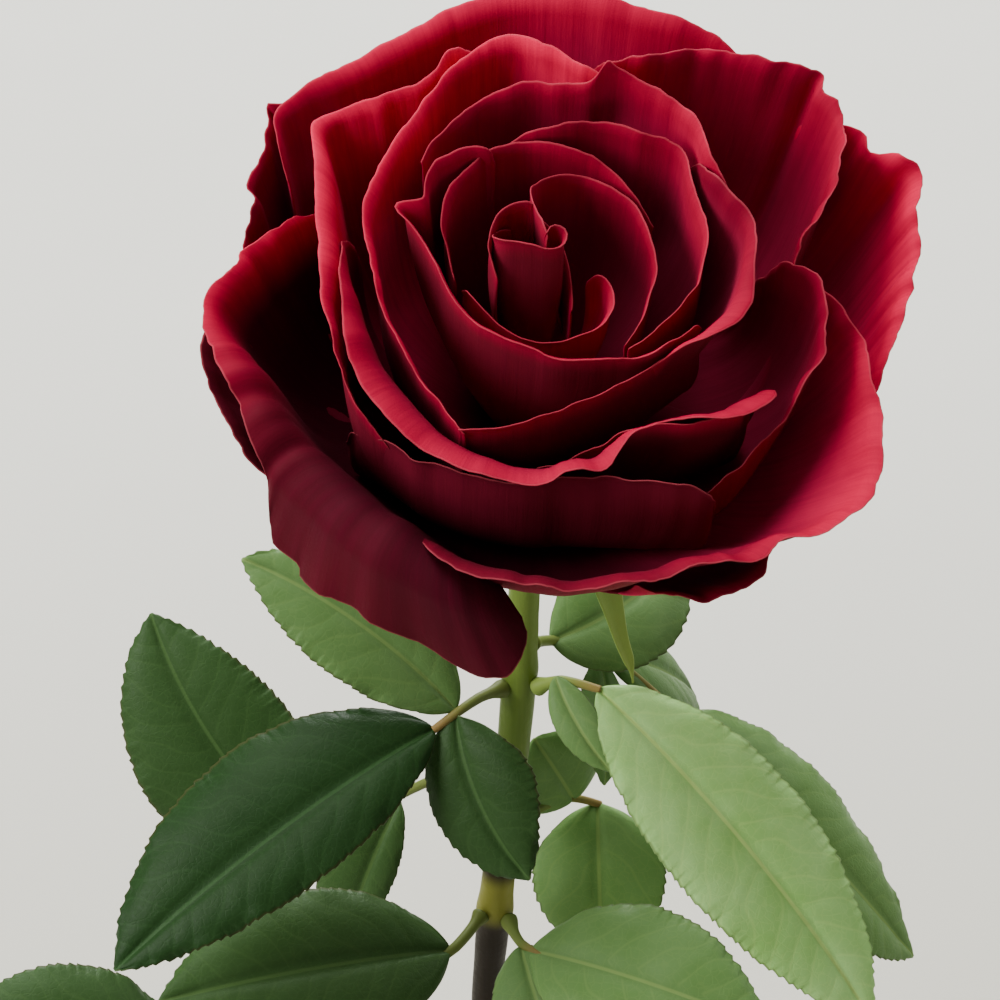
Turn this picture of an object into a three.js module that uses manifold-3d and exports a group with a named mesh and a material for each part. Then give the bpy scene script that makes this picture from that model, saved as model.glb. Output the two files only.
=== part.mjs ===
// A single red rose standing in a slender bud vase, in millimetres, +Z up.
// The origin is the centre of the vase's flat foot; the bloom faces -Y.
import * as THREE from "three";
import { mergeVertices } from "three/addons/utils/BufferGeometryUtils.js";
import Module from "manifold-3d";

const wasm = await Module();
wasm.setup();

// ---------- driving dimensions ----------
const GAP = 0.3; // clearance between neighbouring pieces
const BLADE = 0.7; // thickness of a petal or leaf blade

const VASE_HEIGHT = 148;
const VASE_WALL = 2.4;
const VASE_FLOOR = 6;
const VASE_LIP = 1.2; // radius of the rounded rim
const LIP_CORNER = Math.SQRT1_2;
const FLOOR_CORNER = 2.4; // width of the sloping corner inside the foot
const VASE_SIDES = 24;
const VASE_RINGS = 11;
// radius and height of the vase's outside, from the foot to under the rim
const VASE_OUTSIDE = [
  [22, 0], [23, 1.4], [27.5, 14], [31.4, 32], [32, 48], [28.6, 66], [21.6, 84], [15, 100], [11.8, 114],
  [11.3, 127], [12.3, 139], [13.6, 146.6],
];
const WATER_LEVEL = 112;

const RECEPTACLE = new THREE.Vector3(6, -14, 300); // where the petals are seated
const BLOOM_TILT = 28; // degrees the flower faces forwards
// radius and height of the seat, which the petals stand out of
const SEAT_PROFILE = [[0, -0.6], [10.2, -0.6], [10.2, 1.2], [8.6, 4], [5, 6.4], [0, 7.6]];
const SEAT_SIDES = 20;
const HIP_LENGTH = 13;
// radius and height of the hip, from its shoulder down to the stem
const HIP_PROFILE = [[8, -2.4], [7, -5.4], [5.6, -8.6], [3.9, -11.4]];
const HIP_TOP_RADIUS = 7.6;
const NECK_RADIUS = 2.8; // of the stem and the hip where they meet

// the stem's centre line below the flower, and its radius there
const STEM = [
  [6, -1.2, 275.5, 2.7], [5.6, 2.6, 261, 2.9], [4.5, 3.4, 236, 3.3], [2.6, 3.4, 212, 3.1], [0.2, 3.2, 187, 3.4],
  [-1.8, 3, 162, 3.1], [-2.6, 2.4, 130, 3.1], [-4.4, 0.4, 80, 3.2], [-8, -3, 14, 3.3],
];
const STEM_SIDES = 12;
const STEM_PIECES = 20;

// ---------- petals ----------
// Sizes are in the flower's own frame: the seat is its origin and z its axis.
// spread: width of the claw round the axis, in degrees; claw: its distance from the axis;
// rise: the blade's angle as it leaves the claw; pull: how far the blade follows the angles
// at its two ends; bend: radius of the rolled edge. rim: points along the free edge, each with
// [azimuth, radius, height, lean of the blade, length rolled outwards, angle rolled, drift of the roll].
const PETALS = [
  {
    name: "heart_a", spread: 120, claw: 1.2, rise: 88, pull: [0.45, 0.38], bend: 1.5,
    rim: [
      [150, 4.5, 50, 95, 0, 0, 0], [195, 6.2, 51, 92, 0.5, 60, 0], [240, 3.6, 52, 92, 1.2, 110, 0],
      [290, 3.6, 52, 92, 1.2, 110, 0], [330, 5.2, 52, 92, 1, 90, 0], [365, 5.8, 53.5, 90, 0.6, 60, 0],
      [400, 4.6, 54.5, 90, 0, 0, 0],
    ],
  },
  {
    name: "heart_b", spread: 120, claw: 1.9, rise: 88, pull: [0.45, 0.38], bend: 1.5,
    rim: [
      [215, 6.8, 46, 96, 0, 0, 0], [188, 6.6, 51.5, 94, 0.4, 60, 0], [147, 6.2, 53.5, 94, 0.4, 60, 0],
      [118, 5.2, 54.5, 92, 0, 0, 0], [80, 4, 54.2, 90, 0, 0, 0], [30, 2.5, 53.5, 90, 0, 0, 0],
    ],
  },
  {
    name: "heart_c", spread: 150, claw: 2.7, rise: 86, pull: [0.5, 0.38], bend: 1.6,
    rim: [
      [-28, 11.5, 41, 92, 0, 0, 0], [0, 7.6, 46, 92, 0, 0, 0], [55, 6.5, 50.5, 92, 0.6, 60, 0],
      [90, 6, 51, 92, 0.4, 50, 0],
    ],
  },
  {
    name: "p1", spread: 160, claw: 3.2, rise: 76, pull: [0.5, 0.4], bend: 2,
    rim: [
      [100, 4.2, 53, 92, 0, 0, 0], [84, 7.5, 51.5, 92, 0, 0, 0], [86, 11.5, 50, 92, 0.5, 50, 0],
      [78, 14.5, 49, 92, 0.7, 60, 0], [64, 17.5, 47.5, 92, 0.8, 70, 0], [50, 19, 46.5, 92, 0.8, 70, 0],
      [36, 20, 45.5, 92, 0.8, 70, 0], [20, 20.2, 44, 92, 0.8, 70, 0], [5, 20, 42.5, 92, 0.8, 70, 0],
      [-8, 19.6, 41, 92, 0.6, 60, 0], [-22, 19.2, 39.5, 93, 0.4, 50, 0], [-36, 18.6, 37.5, 95, 0, 0, 0],
    ],
  },
  {
    name: "f1", spread: 150, claw: 3, rise: 80, pull: [0.5, 0.38], bend: 1.6,
    rim: [
      [180, 11.5, 44, 94, 0, 0, 0], [198, 10.5, 42.5, 94, 0.4, 50, 0], [215, 9.8, 40.5, 94, 0.6, 60, 0],
      [233, 9.4, 39, 94, 0.8, 70, 0], [257, 9.6, 38, 94, 0.8, 80, 0], [283, 10.6, 37.5, 94, 0.8, 80, 0],
      [303, 11.8, 38, 92, 0.8, 80, 0], [325, 13.2, 39, 90, 0.8, 80, 0], [345, 13, 41, 92, 0.6, 60, 0],
      [372, 11.2, 43, 94, 0, 0, 0],
    ],
  },
  {
    name: "p2", spread: 160, claw: 3.8, rise: 70, pull: [0.5, 0.42], bend: 2,
    rim: [
      [188, 12.5, 42.5, 94, 0, 0, 0], [166, 13.8, 44.5, 93, 0.5, 50, 0],
      [158, 15.6, 47, 92, 0.8, 70, 0], [146, 16.6, 50, 90, 1.2, 90, 0], [134, 17, 52, 90, 1, 80, 0],
      [121, 17.5, 53, 90, 0.8, 70, 0], [115, 18.4, 54, 90, 0.5, 60, 0], [104, 18.8, 54, 90, 0.8, 70, 0],
      [76, 19.6, 53, 90, 1, 80, 0], [62, 20.4, 52, 90, 0.8, 70, 0], [50, 21.2, 50, 90, 0.6, 60, 0],
      [38, 22, 47, 92, 0.3, 40, 0], [26, 22.6, 44, 94, 0, 0, 0],
    ],
  },
  {
    name: "p3", spread: 170, claw: 4.4, rise: 68, pull: [0.5, 0.42], bend: 2,
    rim: [
      [104, 20.4, 55.5, 90, 0.5, 60, 0], [120, 19.6, 56, 90, 0.9, 70, 0],
      [130, 19.6, 55.5, 90, 1, 70, 0], [139, 20.4, 54.5, 88, 1, 70, 0], [148, 20.6, 53, 88, 0.8, 60, 0],
      [156, 20.6, 50.5, 88, 1.6, 90, 0], [160, 21.2, 49.5, 86, 2.4, 110, 0],
      [166, 19.6, 48.5, 88, 1.4, 90, 0], [173, 17.2, 47, 92, 0.8, 70, 0],
      [184, 15.4, 46, 93, 0.7, 70, 0], [199, 14.2, 44, 94, 0.8, 80, 0], [220, 12.8, 42, 94, 1, 90, 0],
      [245, 12.4, 41, 94, 1.2, 100, 0], [268, 13.2, 40, 94, 1.4, 100, 0],
      [287, 15.2, 39.5, 94, 1.6, 110, 0], [301, 17.4, 39, 93, 1.8, 110, 0],
      [314, 20.2, 39, 92, 1.6, 100, 0], [323, 23.6, 40, 92, 1.2, 90, 0],
      [331, 26.6, 41, 92, 0.8, 60, 0], [338, 29, 42, 92, 0, 0, 0],
    ],
  },
  {
    name: "t3", spread: 160, claw: 5, rise: 60, pull: [0.5, 0.45], bend: 2,
    rim: [
      [112, 20.5, 55.5, 90, 0, 0, 0], [100, 20.6, 55, 90, 0.4, 50, 0], [85, 20.8, 54.6, 90, 0.6, 60, 0],
      [73, 22.4, 54, 90, 0.8, 70, 0], [64, 24.6, 53, 90, 0.8, 70, 0], [56, 26.6, 53, 90, 0.8, 70, 0],
      [49, 28, 52.5, 90, 0.8, 70, 0], [43, 30, 52, 90, 0.8, 70, 0], [38, 31.2, 51, 90, 0.8, 70, 0],
      [31, 30.4, 50, 90, 0.8, 70, 0], [22, 28.6, 48.5, 90, 0.8, 70, 0], [8, 28.4, 47, 91, 0.8, 70, 0],
      [0, 28, 46, 92, 0.6, 60, 0], [-8, 27, 44, 93, 0.5, 50, 0], [-22, 23.4, 41.5, 94, 0, 0, 0],
      [-38, 19.8, 38, 96, 0, 0, 0],
    ],
  },
  {
    name: "t2", spread: 150, claw: 5.6, rise: 54, pull: [0.5, 0.48], bend: 2.2,
    rim: [
      [142, 22.5, 53.5, 90, 0, 0, 0], [120, 24.4, 56, 90, 0.6, 60, 0], [104, 26.4, 57, 90, 1, 80, 0],
      [92, 27.6, 58, 90, 1.2, 80, 0], [75, 28, 59, 90, 1, 70, 0], [69, 29.6, 59.2, 90, 0.8, 60, 0],
      [66, 31.6, 60, 88, 0.6, 60, 0], [60, 33.6, 58.8, 88, 1, 70, 0], [50, 34.4, 57, 88, 1.2, 80, 0],
      [40, 34.2, 55, 88, 1.2, 80, 0], [31, 33.2, 53.5, 88, 1, 80, 0], [21, 32, 52, 90, 0.6, 60, 0],
      [10, 31.4, 50, 92, 0, 0, 0],
    ],
  },
  {
    name: "p4", spread: 150, claw: 5.4, rise: 56, pull: [0.5, 0.46], bend: 2.2,
    rim: [
      [24, 30.6, 52.5, 90, 0.6, 60, 0], [17, 32.2, 52, 86, 1.2, 90, 0], [10, 33.4, 51, 84, 2, 110, 0],
      [4, 34, 50, 82, 2.6, 120, 0], [-2, 33.8, 49, 80, 3.2, 120, 0], [-9, 33.2, 47.5, 78, 3.8, 130, 0],
      [-15, 33, 46, 76, 4.4, 140, 0], [-20, 31.6, 44.4, 76, 4, 140, 0], [-25, 29.6, 43, 80, 3, 120, 0],
      [-31, 27.6, 42, 84, 2, 100, 0], [-40, 25, 40.5, 90, 0.6, 60, 0], [-52, 21.5, 39, 94, 0, 0, 0],
    ],
  },
  {
    name: "p5", spread: 150, claw: 5.8, rise: 48, pull: [0.5, 0.5], bend: 2,
    rim: [
      [245, 27.5, 33.5, 92, 0, 0, 0], [256, 25.6, 34, 93, 0.5, 50, 0],
      [270, 23.8, 34.5, 94, 0.7, 70, 0], [285, 22.4, 35.2, 94, 0.8, 70, 0],
      [300, 22.2, 36, 94, 0.8, 70, 0], [314, 23.6, 37, 93, 0.8, 70, 0], [327, 26, 38.5, 92, 0.8, 60, 0],
      [340, 29.4, 40, 92, 0.4, 40, 0], [352, 32, 42, 93, 0, 0, 0],
    ],
  },
  {
    name: "t1", spread: 170, claw: 6.2, rise: 42, pull: [0.5, 0.52], bend: 2.4,
    rim: [
      [64, 31.5, 58.5, 90, 0, 0, 0], [71, 31.4, 59, 90, 0.6, 60, 0], [78, 32.2, 59.2, 90, 1, 70, 0],
      [85, 34, 60, 88, 1.4, 80, 0], [92, 36, 60, 88, 1.8, 90, 0], [99, 36.4, 60, 88, 1.8, 90, 0],
      [105, 36, 59, 88, 1.6, 90, 0], [111, 34.6, 58, 88, 1.4, 80, 0], [119, 32, 56.8, 88, 1.6, 90, 0],
      [130, 29.4, 55.2, 88, 2, 100, 0], [140, 28.4, 53.8, 88, 2.2, 100, 0],
      [150, 28.2, 52, 88, 2.4, 110, 0], [160, 28.2, 50, 88, 2.4, 110, 0],
      [168, 27.4, 48, 88, 2.2, 110, 0], [178, 25.8, 46, 90, 1.6, 90, 0],
      [190, 25.2, 43.6, 91, 1.2, 80, 0], [202, 24.6, 41, 92, 1, 80, 0], [213, 24, 39, 92, 1, 80, 0],
      [223, 24.2, 37, 92, 0.8, 70, 0], [234, 25.4, 35, 92, 0.6, 60, 0], [247, 27.6, 33, 92, 0, 0, 0],
    ],
  },
  {
    name: "r1", spread: 170, claw: 7, rise: 26, pull: [0.55, 0.55], bend: 2.4,
    rim: [
      [171, 31.4, 43, 88, 0, 0, 0], [176, 30.8, 46, 84, 1.6, 90, 0], [182, 30, 45.4, 84, 2.6, 110, 0],
      [190, 29.2, 44, 82, 3.2, 120, 0], [203, 29, 41, 80, 3.8, 130, 0],
      [217, 28.8, 38.8, 78, 4.2, 130, 0], [228, 28.4, 37, 78, 4.4, 130, 0],
      [240, 28.4, 35, 78, 4, 130, 0], [253, 28.4, 33.4, 78, 3.6, 130, 0],
      [264, 28.4, 32.4, 80, 3, 120, 0], [274, 28.6, 32, 82, 2.2, 110, 0],
      [284, 28.6, 32, 84, 2.6, 110, 0], [292, 28.8, 32, 84, 3.4, 120, 0], [300, 29, 33, 84, 2, 100, 0],
      [306, 29.4, 33.8, 86, 0.8, 80, 0],
    ],
  },
  {
    name: "r2", spread: 150, claw: 6.8, rise: 30, pull: [0.55, 0.52], bend: 2.2,
    rim: [
      [272, 27, 30.5, 92, 0, 0, 0], [286, 27.4, 32, 90, 0.6, 60, 0], [298, 28.4, 33, 88, 1, 80, 0],
      [307, 30, 33.6, 86, 1.4, 90, 0], [314, 32.2, 33.8, 84, 2.4, 110, 0],
      [320, 34.6, 34.8, 82, 2.8, 120, 0], [326, 36.8, 35.8, 80, 3.6, 130, 0],
      [332, 40, 37, 76, 4.4, 140, 0], [337, 42, 38, 74, 4.2, 140, 0],
      [344, 41.5, 39.5, 80, 2.2, 110, 0], [354, 40, 41, 86, 0.8, 70, 0], [366, 38.5, 42, 90, 0, 0, 0],
    ],
  },
  {
    name: "fi", spread: 150, claw: 7.6, rise: -8, pull: [0.6, 0.55], bend: 2.2,
    rim: [
      [232, 36, 17, 90, 0, 0, 0], [246, 33, 24, 94, 0, 0, 0], [262, 30.6, 28, 98, 0, 0, 0],
      [278, 30, 29, 99, 0.4, 50, 0], [290, 33, 29.4, 98, 0.6, 60, 0], [300, 37, 29.4, 96, 0.8, 70, 0],
      [307, 41.2, 30, 92, 0.8, 70, 0], [311, 45.4, 30, 90, 0.8, 60, 0], [317, 46.4, 26, 90, 0, 0, 0],
    ],
  },
  {
    name: "rb3", spread: 150, claw: 7.8, rise: 4, pull: [0.6, 0.5], bend: 2.4,
    rim: [
      [9, 41, 39.5, 88, 0, 0, 0], [5.5, 42.6, 41.8, 88, 0.6, 60, 0], [2, 44.6, 41.4, 86, 1, 80, 0],
      [-2, 47, 40.4, 84, 1, 80, 0], [-7, 47.8, 38.8, 84, 1, 80, 0], [-12, 48, 37, 84, 1, 80, 0],
      [-17, 47.4, 34.6, 84, 1, 80, 0], [-22, 46.6, 31.6, 84, 0.8, 70, 0],
      [-27, 44.8, 28, 86, 0.6, 60, 0], [-34, 43, 24, 88, 0, 0, 0], [-44, 40, 20, 90, 0, 0, 0],
    ],
  },
  {
    name: "bl", spread: 170, claw: 8, rise: 4, pull: [0.6, 0.5], bend: 3,
    rim: [
      [112, 39, 57.5, 84, 0.8, 60, 0], [116, 36.4, 57.4, 84, 1, 70, 0],
      [121, 35.6, 56.4, 84, 1.2, 80, 0], [126, 37, 55, 84, 1.4, 90, 0],
      [134, 39.4, 52.6, 82, 2.2, 100, 0], [142, 42.6, 50.4, 78, 3, 120, 0],
      [150, 40.4, 49, 78, 4.4, 130, 0], [161, 36.6, 47, 78, 5, 130, 0], [175, 34, 45, 78, 4.6, 130, 0],
      [186, 33.6, 43, 80, 3.6, 120, 0], [195, 33.4, 41, 84, 2, 100, 0], [206, 34, 38, 88, 0, 0, 0],
    ],
  },
  {
    name: "bt", spread: 170, claw: 8.4, rise: -2, pull: [0.6, 0.5], bend: 3,
    rim: [
      [146, 44.4, 47.5, 82, 1, 60, 0], [140, 46.4, 49, 80, 2, 90, 0], [131, 45, 50, 78, 3, 110, 0],
      [117, 44.6, 51, 78, 3.4, 120, 0], [104, 47, 52, 76, 3.4, 120, 0], [92, 49.4, 53, 74, 3.2, 110, 0],
      [80, 50, 53.6, 74, 3, 110, 0], [70, 50.4, 52.6, 74, 2.6, 110, 0], [61, 52.6, 51, 76, 2, 100, 0],
      [55, 54.8, 48.6, 78, 1.4, 90, 0], [47, 57, 43, 82, 0, 0, 0],
    ],
  },
  {
    name: "rb1", spread: 170, claw: 8.2, rise: 0, pull: [0.6, 0.5], bend: 3,
    rim: [
      [72, 38.4, 54.5, 86, 0, 0, 0], [65, 39.2, 54, 84, 0.8, 60, 0], [61, 42, 53.4, 82, 1.4, 80, 0],
      [56, 46.2, 52.2, 80, 1.8, 90, 0], [50, 51.2, 51, 78, 2.2, 90, 0], [44, 56, 49.2, 76, 2.4, 100, 0],
      [39, 60, 47, 74, 2.2, 100, 0], [33, 61, 45.6, 74, 1.6, 90, 0], [26, 57.8, 44.6, 76, 1.2, 80, 0],
      [19, 52.8, 43.4, 80, 1, 80, 0], [11, 46.2, 42, 84, 0.8, 70, 0], [3, 42.2, 40.6, 88, 0, 0, 0],
    ],
  },
  {
    name: "lt", spread: 160, claw: 8.6, rise: -4, pull: [0.6, 0.45], bend: 3,
    rim: [
      [138, 49, 48.5, 82, 0, 0, 0], [144, 52.2, 47, 78, 1.2, 80, 0], [150, 50.2, 44.6, 78, 1.4, 80, 0],
      [158, 49.8, 41, 78, 1.6, 80, 0], [164, 47.2, 38, 80, 1.6, 90, 0], [172, 45, 35, 84, 0, 0, 0],
    ],
  },
  {
    name: "rf", spread: 170, claw: 8.8, rise: -14, pull: [0.66, 0.45], bend: 4,
    rim: [
      [6, 46, 39, 84, 0, 0, 0], [-1, 48.4, 36.4, 76, 1, 70, 0], [-5, 51.4, 34.4, 72, 2, 80, 0],
      [-9, 53.6, 33, 70, 2, 80, 0], [-14, 55, 31.6, 66, 2, 80, 0], [-21, 59.2, 29, 60, 2, 80, 0],
      [-26, 61.2, 27.6, 56, 2, 80, 0], [-31, 62, 26, 54, 2, 80, 0], [-36, 60.6, 24.6, 56, 2, 90, 0],
      [-42, 57, 23.4, 58, 2.4, 90, 0], [-47, 53.4, 22.4, 62, 3, 100, 0],
      [-54, 50.4, 22.4, 66, 3.4, 100, 0], [-62, 47.8, 22, 70, 3.6, 110, 0],
      [-72, 46.4, 21, 74, 3.6, 110, 0], [-84, 45, 20.4, 76, 3.6, 110, 0],
      [-95, 43.8, 20.4, 76, 3.6, 110, 0], [-104, 43, 21, 76, 3.4, 110, 0], [-112, 42, 22, 78, 2, 90, 0],
      [-120, 41, 23, 84, 0, 0, 0],
    ],
  },
  {
    name: "ll", spread: 170, claw: 9.2, rise: -14, pull: [0.66, 0.42], bend: 3.4,
    rim: [
      [160, 45, 35, 80, 0, 0, 0], [167, 45, 39, 76, 1.5, 60, 0], [173, 48.8, 37.4, 70, 3, 80, 0],
      [180, 51, 34.4, 66, 4, 100, 0], [186, 49.6, 33, 66, 5, 110, 0], [192, 47, 33, 66, 7, 135, 0],
      [200, 45.4, 32, 66, 12, 140, 0], [209, 44.6, 31, 64, 21, 138, 0],
      [219, 43.2, 29.6, 62, 28, 138, 1], [230, 42.6, 28, 60, 29, 140, 4],
      [239, 42.6, 26, 60, 29, 140, 8], [245, 43, 24.6, 60, 28, 138, 12], [250, 43, 22, 62, 26, 130, 16],
      [254, 42, 18, 66, 20, 120, 19], [257, 39.4, 14, 72, 9, 110, 12],
    ],
  },
  {
    name: "rb2", spread: 160, claw: 9.2, rise: -16, pull: [0.64, 0.45], bend: 4,
    rim: [
      [36, 60.4, 40, 80, 0, 0, 0], [31.5, 62.6, 40.8, 76, 1, 60, 0], [28, 64.8, 39.8, 72, 1.4, 70, 0],
      [24.5, 66, 38.8, 70, 1.6, 80, 0], [22.5, 68.6, 37.6, 68, 1.6, 80, 0],
      [19.5, 70, 36.6, 66, 1.4, 80, 0], [12.5, 66, 35.4, 66, 1.4, 80, 0],
      [4.4, 63.2, 33, 66, 1.4, 80, 0], [-2.6, 60, 30, 68, 1.4, 80, 0], [-10, 57.6, 27, 72, 1.2, 80, 0],
      [-17, 55, 23, 78, 0, 0, 0],
    ],
  },
  {
    name: "ls", spread: 150, claw: 9.8, rise: -24, pull: [0.64, 0.42], bend: 4,
    rim: [
      [140, 44, 16, 74, 0, 0, 0], [150, 49, 21, 70, 1, 70, 0], [160, 52, 23.6, 68, 1, 70, 0],
      [168, 53.6, 23.6, 66, 1.2, 70, 0], [174, 54.2, 21.6, 64, 1.4, 80, 0],
      [179, 54.6, 19.6, 62, 1.4, 80, 0], [184, 53.4, 17, 60, 1.4, 80, 0],
      [190, 51, 14.4, 60, 1.4, 80, 0], [198, 49.4, 12, 62, 1, 70, 0], [210, 46, 9, 68, 0, 0, 0],
    ],
  },
  {
    name: "sr", spread: 150, claw: 9.8, rise: -28, pull: [0.6, 0.42], bend: 4,
    rim: [
      [280, 40, 11, 66, 0, 0, 0], [294, 44.8, 10.4, 56, 1, 70, 0], [300, 47.6, 9, 50, 1.4, 80, 0],
      [305, 49.4, 8.4, 46, 1.4, 80, 0], [311, 51.4, 9.2, 46, 1.4, 80, 0],
      [317, 53.2, 10.8, 50, 1, 70, 0], [324, 53.6, 12, 62, 0.6, 50, 0], [333, 50, 10, 72, 0, 0, 0],
    ],
  },
];
const FEWEST_RIBS = 7; // lines from the claw to the rim that a petal is drawn with
const MOST_RIBS = 10;
const RIB_STEPS = 4; // pieces of a rib from its claw to the roll
const ROLL_STEP = 2.2; // length of a piece of the roll
const MOST_ROLL_STEPS = 4;
const CLAW_SHARE = 0.45; // of the spread, on each side of the petal's middle
const TURN_EASE = 0.35; // flattens the run of a rim where a value turns back
const PETAL_TOLERANCE = 0.15;
const LEAST_ROLL = 0.6; // every free edge turns outwards a little
const LEAST_TURN = 40;

// ---------- sepals ----------
// azimuth, then points [radius, height, half width] from the hip outwards, in the flower's frame
const SEPALS = [
  { azimuth: -52, path: [[5.5, -4.2, 3.4], [12, -7, 4.2], [18.5, -17, 3.2], [23.5, -29, 1.7], [28, -41, 0.6]] },
  { azimuth: 22, path: [[5.5, -4.2, 3.4], [12.5, -7.6, 4.2], [20, -12, 3.2], [25, -19, 1.8], [28, -28, 0.6]] },
  { azimuth: 94, path: [[5.5, -4.2, 3.4], [12, -8.4, 4.2], [17, -16, 3.2], [18.6, -24, 1.8], [18, -33, 0.6]] },
  { azimuth: 165, path: [[5.5, -4.2, 3.4], [12.5, -7.6, 4.2], [20, -13, 3.2], [24, -21, 1.8], [25, -30, 0.6]] },
  { azimuth: 237, path: [[5.5, -4.2, 3.4], [11, -8.4, 4.2], [14.5, -17, 3.2], [15, -26, 1.8], [13.6, -34, 0.6]] },
];

const SEPAL_STEPS = 5;
const SEPAL_CUP = 0.25; // how far its edges stand off the middle, as a share of the half width
const LEAF_TOLERANCE = 0.06;

// ---------- leaves ----------
// Each leaf is a stalk, as a list of points, with leaflets:
// [base, tip, half width, facing, arch, side bend].
// facing is the direction that the upper face looks in; arch lifts the midrib's middle along it.
const LEAVES = [
  {
    name: "leaf_front_left",
    stalk: [[1.4, 1.2, 236.4], [-3, -4, 237.6], [-7.4, -8, 236.6], [-11.6, -9.6, 234]],
    leaflets: [
      [[-7.4, -7.4, 237], [-47.4, 5, 262.5], 11, [0.3, -0.72, 0.6], 3, 3],
      [[-11.4, -9.5, 234.2], [-70.1, -38, 199.7], 17, [-0.16, -0.62, 0.76], 6, -4],
      [[-7.4, -8.6, 236.4], [6.4, -26, 211.6], 12, [-0.25, -0.93, 0.2], 2, 3],
    ],
  },
  {
    name: "leaf_front_right",
    stalk: [[8.1, 0.9, 237], [12.6, -2.6, 240.6], [19.8, -5, 240]],
    leaflets: [
      [[19.4, -5, 240.2], [70.6, -36, 186.5], 14.4, [0.12, -0.7, 0.7], 6, -2],
      [[12.4, -3.2, 241.4], [21.4, -15, 230], 6.5, [-0.1, -0.9, 0.42], 2, 0],
    ],
  },
  {
    name: "leaf_back_right",
    stalk: [[6.9, 6.9, 243], [11, 13, 240], [22, 19, 233], [37, 17, 219.6]],
    leaflets: [
      [[36, 17.2, 220.6], [86.2, 13, 164], 16, [0.5, -0.4, 0.76], 5, 2],
      [[10.6, 13, 240], [35.4, 34, 248], 12.4, [0.1, -0.7, 0.7], 3, 4],
      [[21.4, 19.4, 233.2], [41, 40, 211], 12, [0.4, -0.3, 0.86], 3, 0],
      [[20.4, 17.6, 233.4], [21, -1, 216], 7, [0.7, -0.3, 0.6], 2, 0],
    ],
  },
  {
    name: "leaf_right",
    stalk: [[4.4, 6.4, 203], [9, 13, 201], [15.4, 20, 198.6], [21.4, 23, 195]],
    leaflets: [
      [[20.8, 22.8, 195.4], [21.6, 6, 168.6], 13.6, [-0.05, -0.8, 0.6], 3, 0],
      [[15.8, 19.4, 198.6], [7.6, 13.6, 217], 9.5, [0.4, -0.86, 0.1], 2, 0],
      [[9, 13.6, 200.6], [-4, 41, 194], 10, [-0.2, 0.1, 1], 3, 0],
    ],
  },
  {
    name: "leaf_back_left",
    stalk: [[0.1, 6.55, 214], [-10, 14, 208], [-24, 20, 196], [-38, 22, 182]],
    leaflets: [
      [[-37, 22, 183.4], [-70.6, 42, 229], 18, [-0.1, -0.86, 0.5], 5, -5],
      [[-23.6, 20.6, 196.6], [-36, 50, 186], 11, [-0.4, 0.4, 0.8], 3, 0],
      [[-24, 19.4, 195.6], [-16, 14, 164], 9.5, [0, -0.8, 0.6], 3, 0],
    ],
  },
  {
    name: "leaf_low_left",
    stalk: [[-2.9, 0.1, 184], [-8, -7, 181.4], [-26, -11, 172], [-46, -13, 163], [-64, -14, 161]],
    leaflets: [
      [[-62, -14, 161], [-104, -22, 176], 14, [-0.2, -0.5, 0.84], 4, 0],
      [[-9, -7.6, 181.2], [-64.6, -25, 182], 16, [-0.05, -0.62, 0.78], 6, 0],
      [[-27, -11.4, 171.6], [-36, -38, 156], 10, [-0.1, -0.6, 0.8], 3, 0],
    ],
  },
  {
    name: "leaf_low_right",
    stalk: [[2.6, 0.4, 182.6], [5, -6, 181.8], [9, -9, 181]],
    leaflets: [
      [[7, -8, 181.4], [52.3, -27, 177], 15.5, [0.05, -0.6, 0.8], 6, 0],
      [[5, -6.4, 181.4], [13, -26, 164], 9, [-0.1, -0.8, 0.6], 3, 0],
    ],
  },
];
const STALK_RADIUS = [1.15, 0.75]; // at the stem and at the leaflets
const STALK_SIDES = 6;
const LEAFLET_SHAPE = [0.62, 0.8, 0.385]; // how its width grows and shrinks, and the greatest value of that
const NARROWEST = 0.5; // half width at the tip and the base
const WIDE_LEAFLET = 16.5; // half width above which a leaflet is arched between rib and edge too
const TEETH = 6; // along each side of a leaflet
const TOOTH_DEPTH = 0.08; // share of the half width
const FOLD = 0.34; // rise of the blade beside the midrib
const CURL = 0.4; // how far the edges turn down again

// ---------- colours ----------
const PETAL_RED = new THREE.MeshStandardMaterial({ color: 0x9c0a24, roughness: 0.6, metalness: 0 });
const LEAF_GREEN = new THREE.MeshStandardMaterial({ color: 0x3f6b38, roughness: 0.5, metalness: 0 });
const SEPAL_GREEN = new THREE.MeshStandardMaterial({ color: 0x8aa84e, roughness: 0.55, metalness: 0 });
const STEM_GREEN = new THREE.MeshStandardMaterial({ color: 0x7d9340, roughness: 0.5, metalness: 0 });
const GLAZE = new THREE.MeshStandardMaterial({ color: 0xe9e6df, roughness: 0.3, metalness: 0 });
const WATER = new THREE.MeshStandardMaterial({ color: 0xdfeaec, roughness: 0.05, metalness: 0 });

// ---------- helpers ----------
const radians = THREE.MathUtils.degToRad;
const vector = (p) => new THREE.Vector3(p[0], p[1], p[2]);

function solidOf(geometry) {
  const bare = geometry.clone();
  bare.deleteAttribute("normal");
  bare.deleteAttribute("uv");
  const merged = mergeVertices(bare, 1e-4);
  const vertProperties = merged.attributes.position.array;
  const triVerts = new Uint32Array(merged.index.array);
  return new wasm.Manifold(new wasm.Mesh({ numProp: 3, vertProperties, triVerts }));
}

function geometryOf(solid) {
  const mesh = solid.getMesh();
  const geometry = new THREE.BufferGeometry();
  geometry.setAttribute("position", new THREE.BufferAttribute(mesh.vertProperties, 3));
  geometry.setIndex(new THREE.BufferAttribute(mesh.triVerts, 1));
  geometry.computeVertexNormals();
  return geometry;
}

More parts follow.
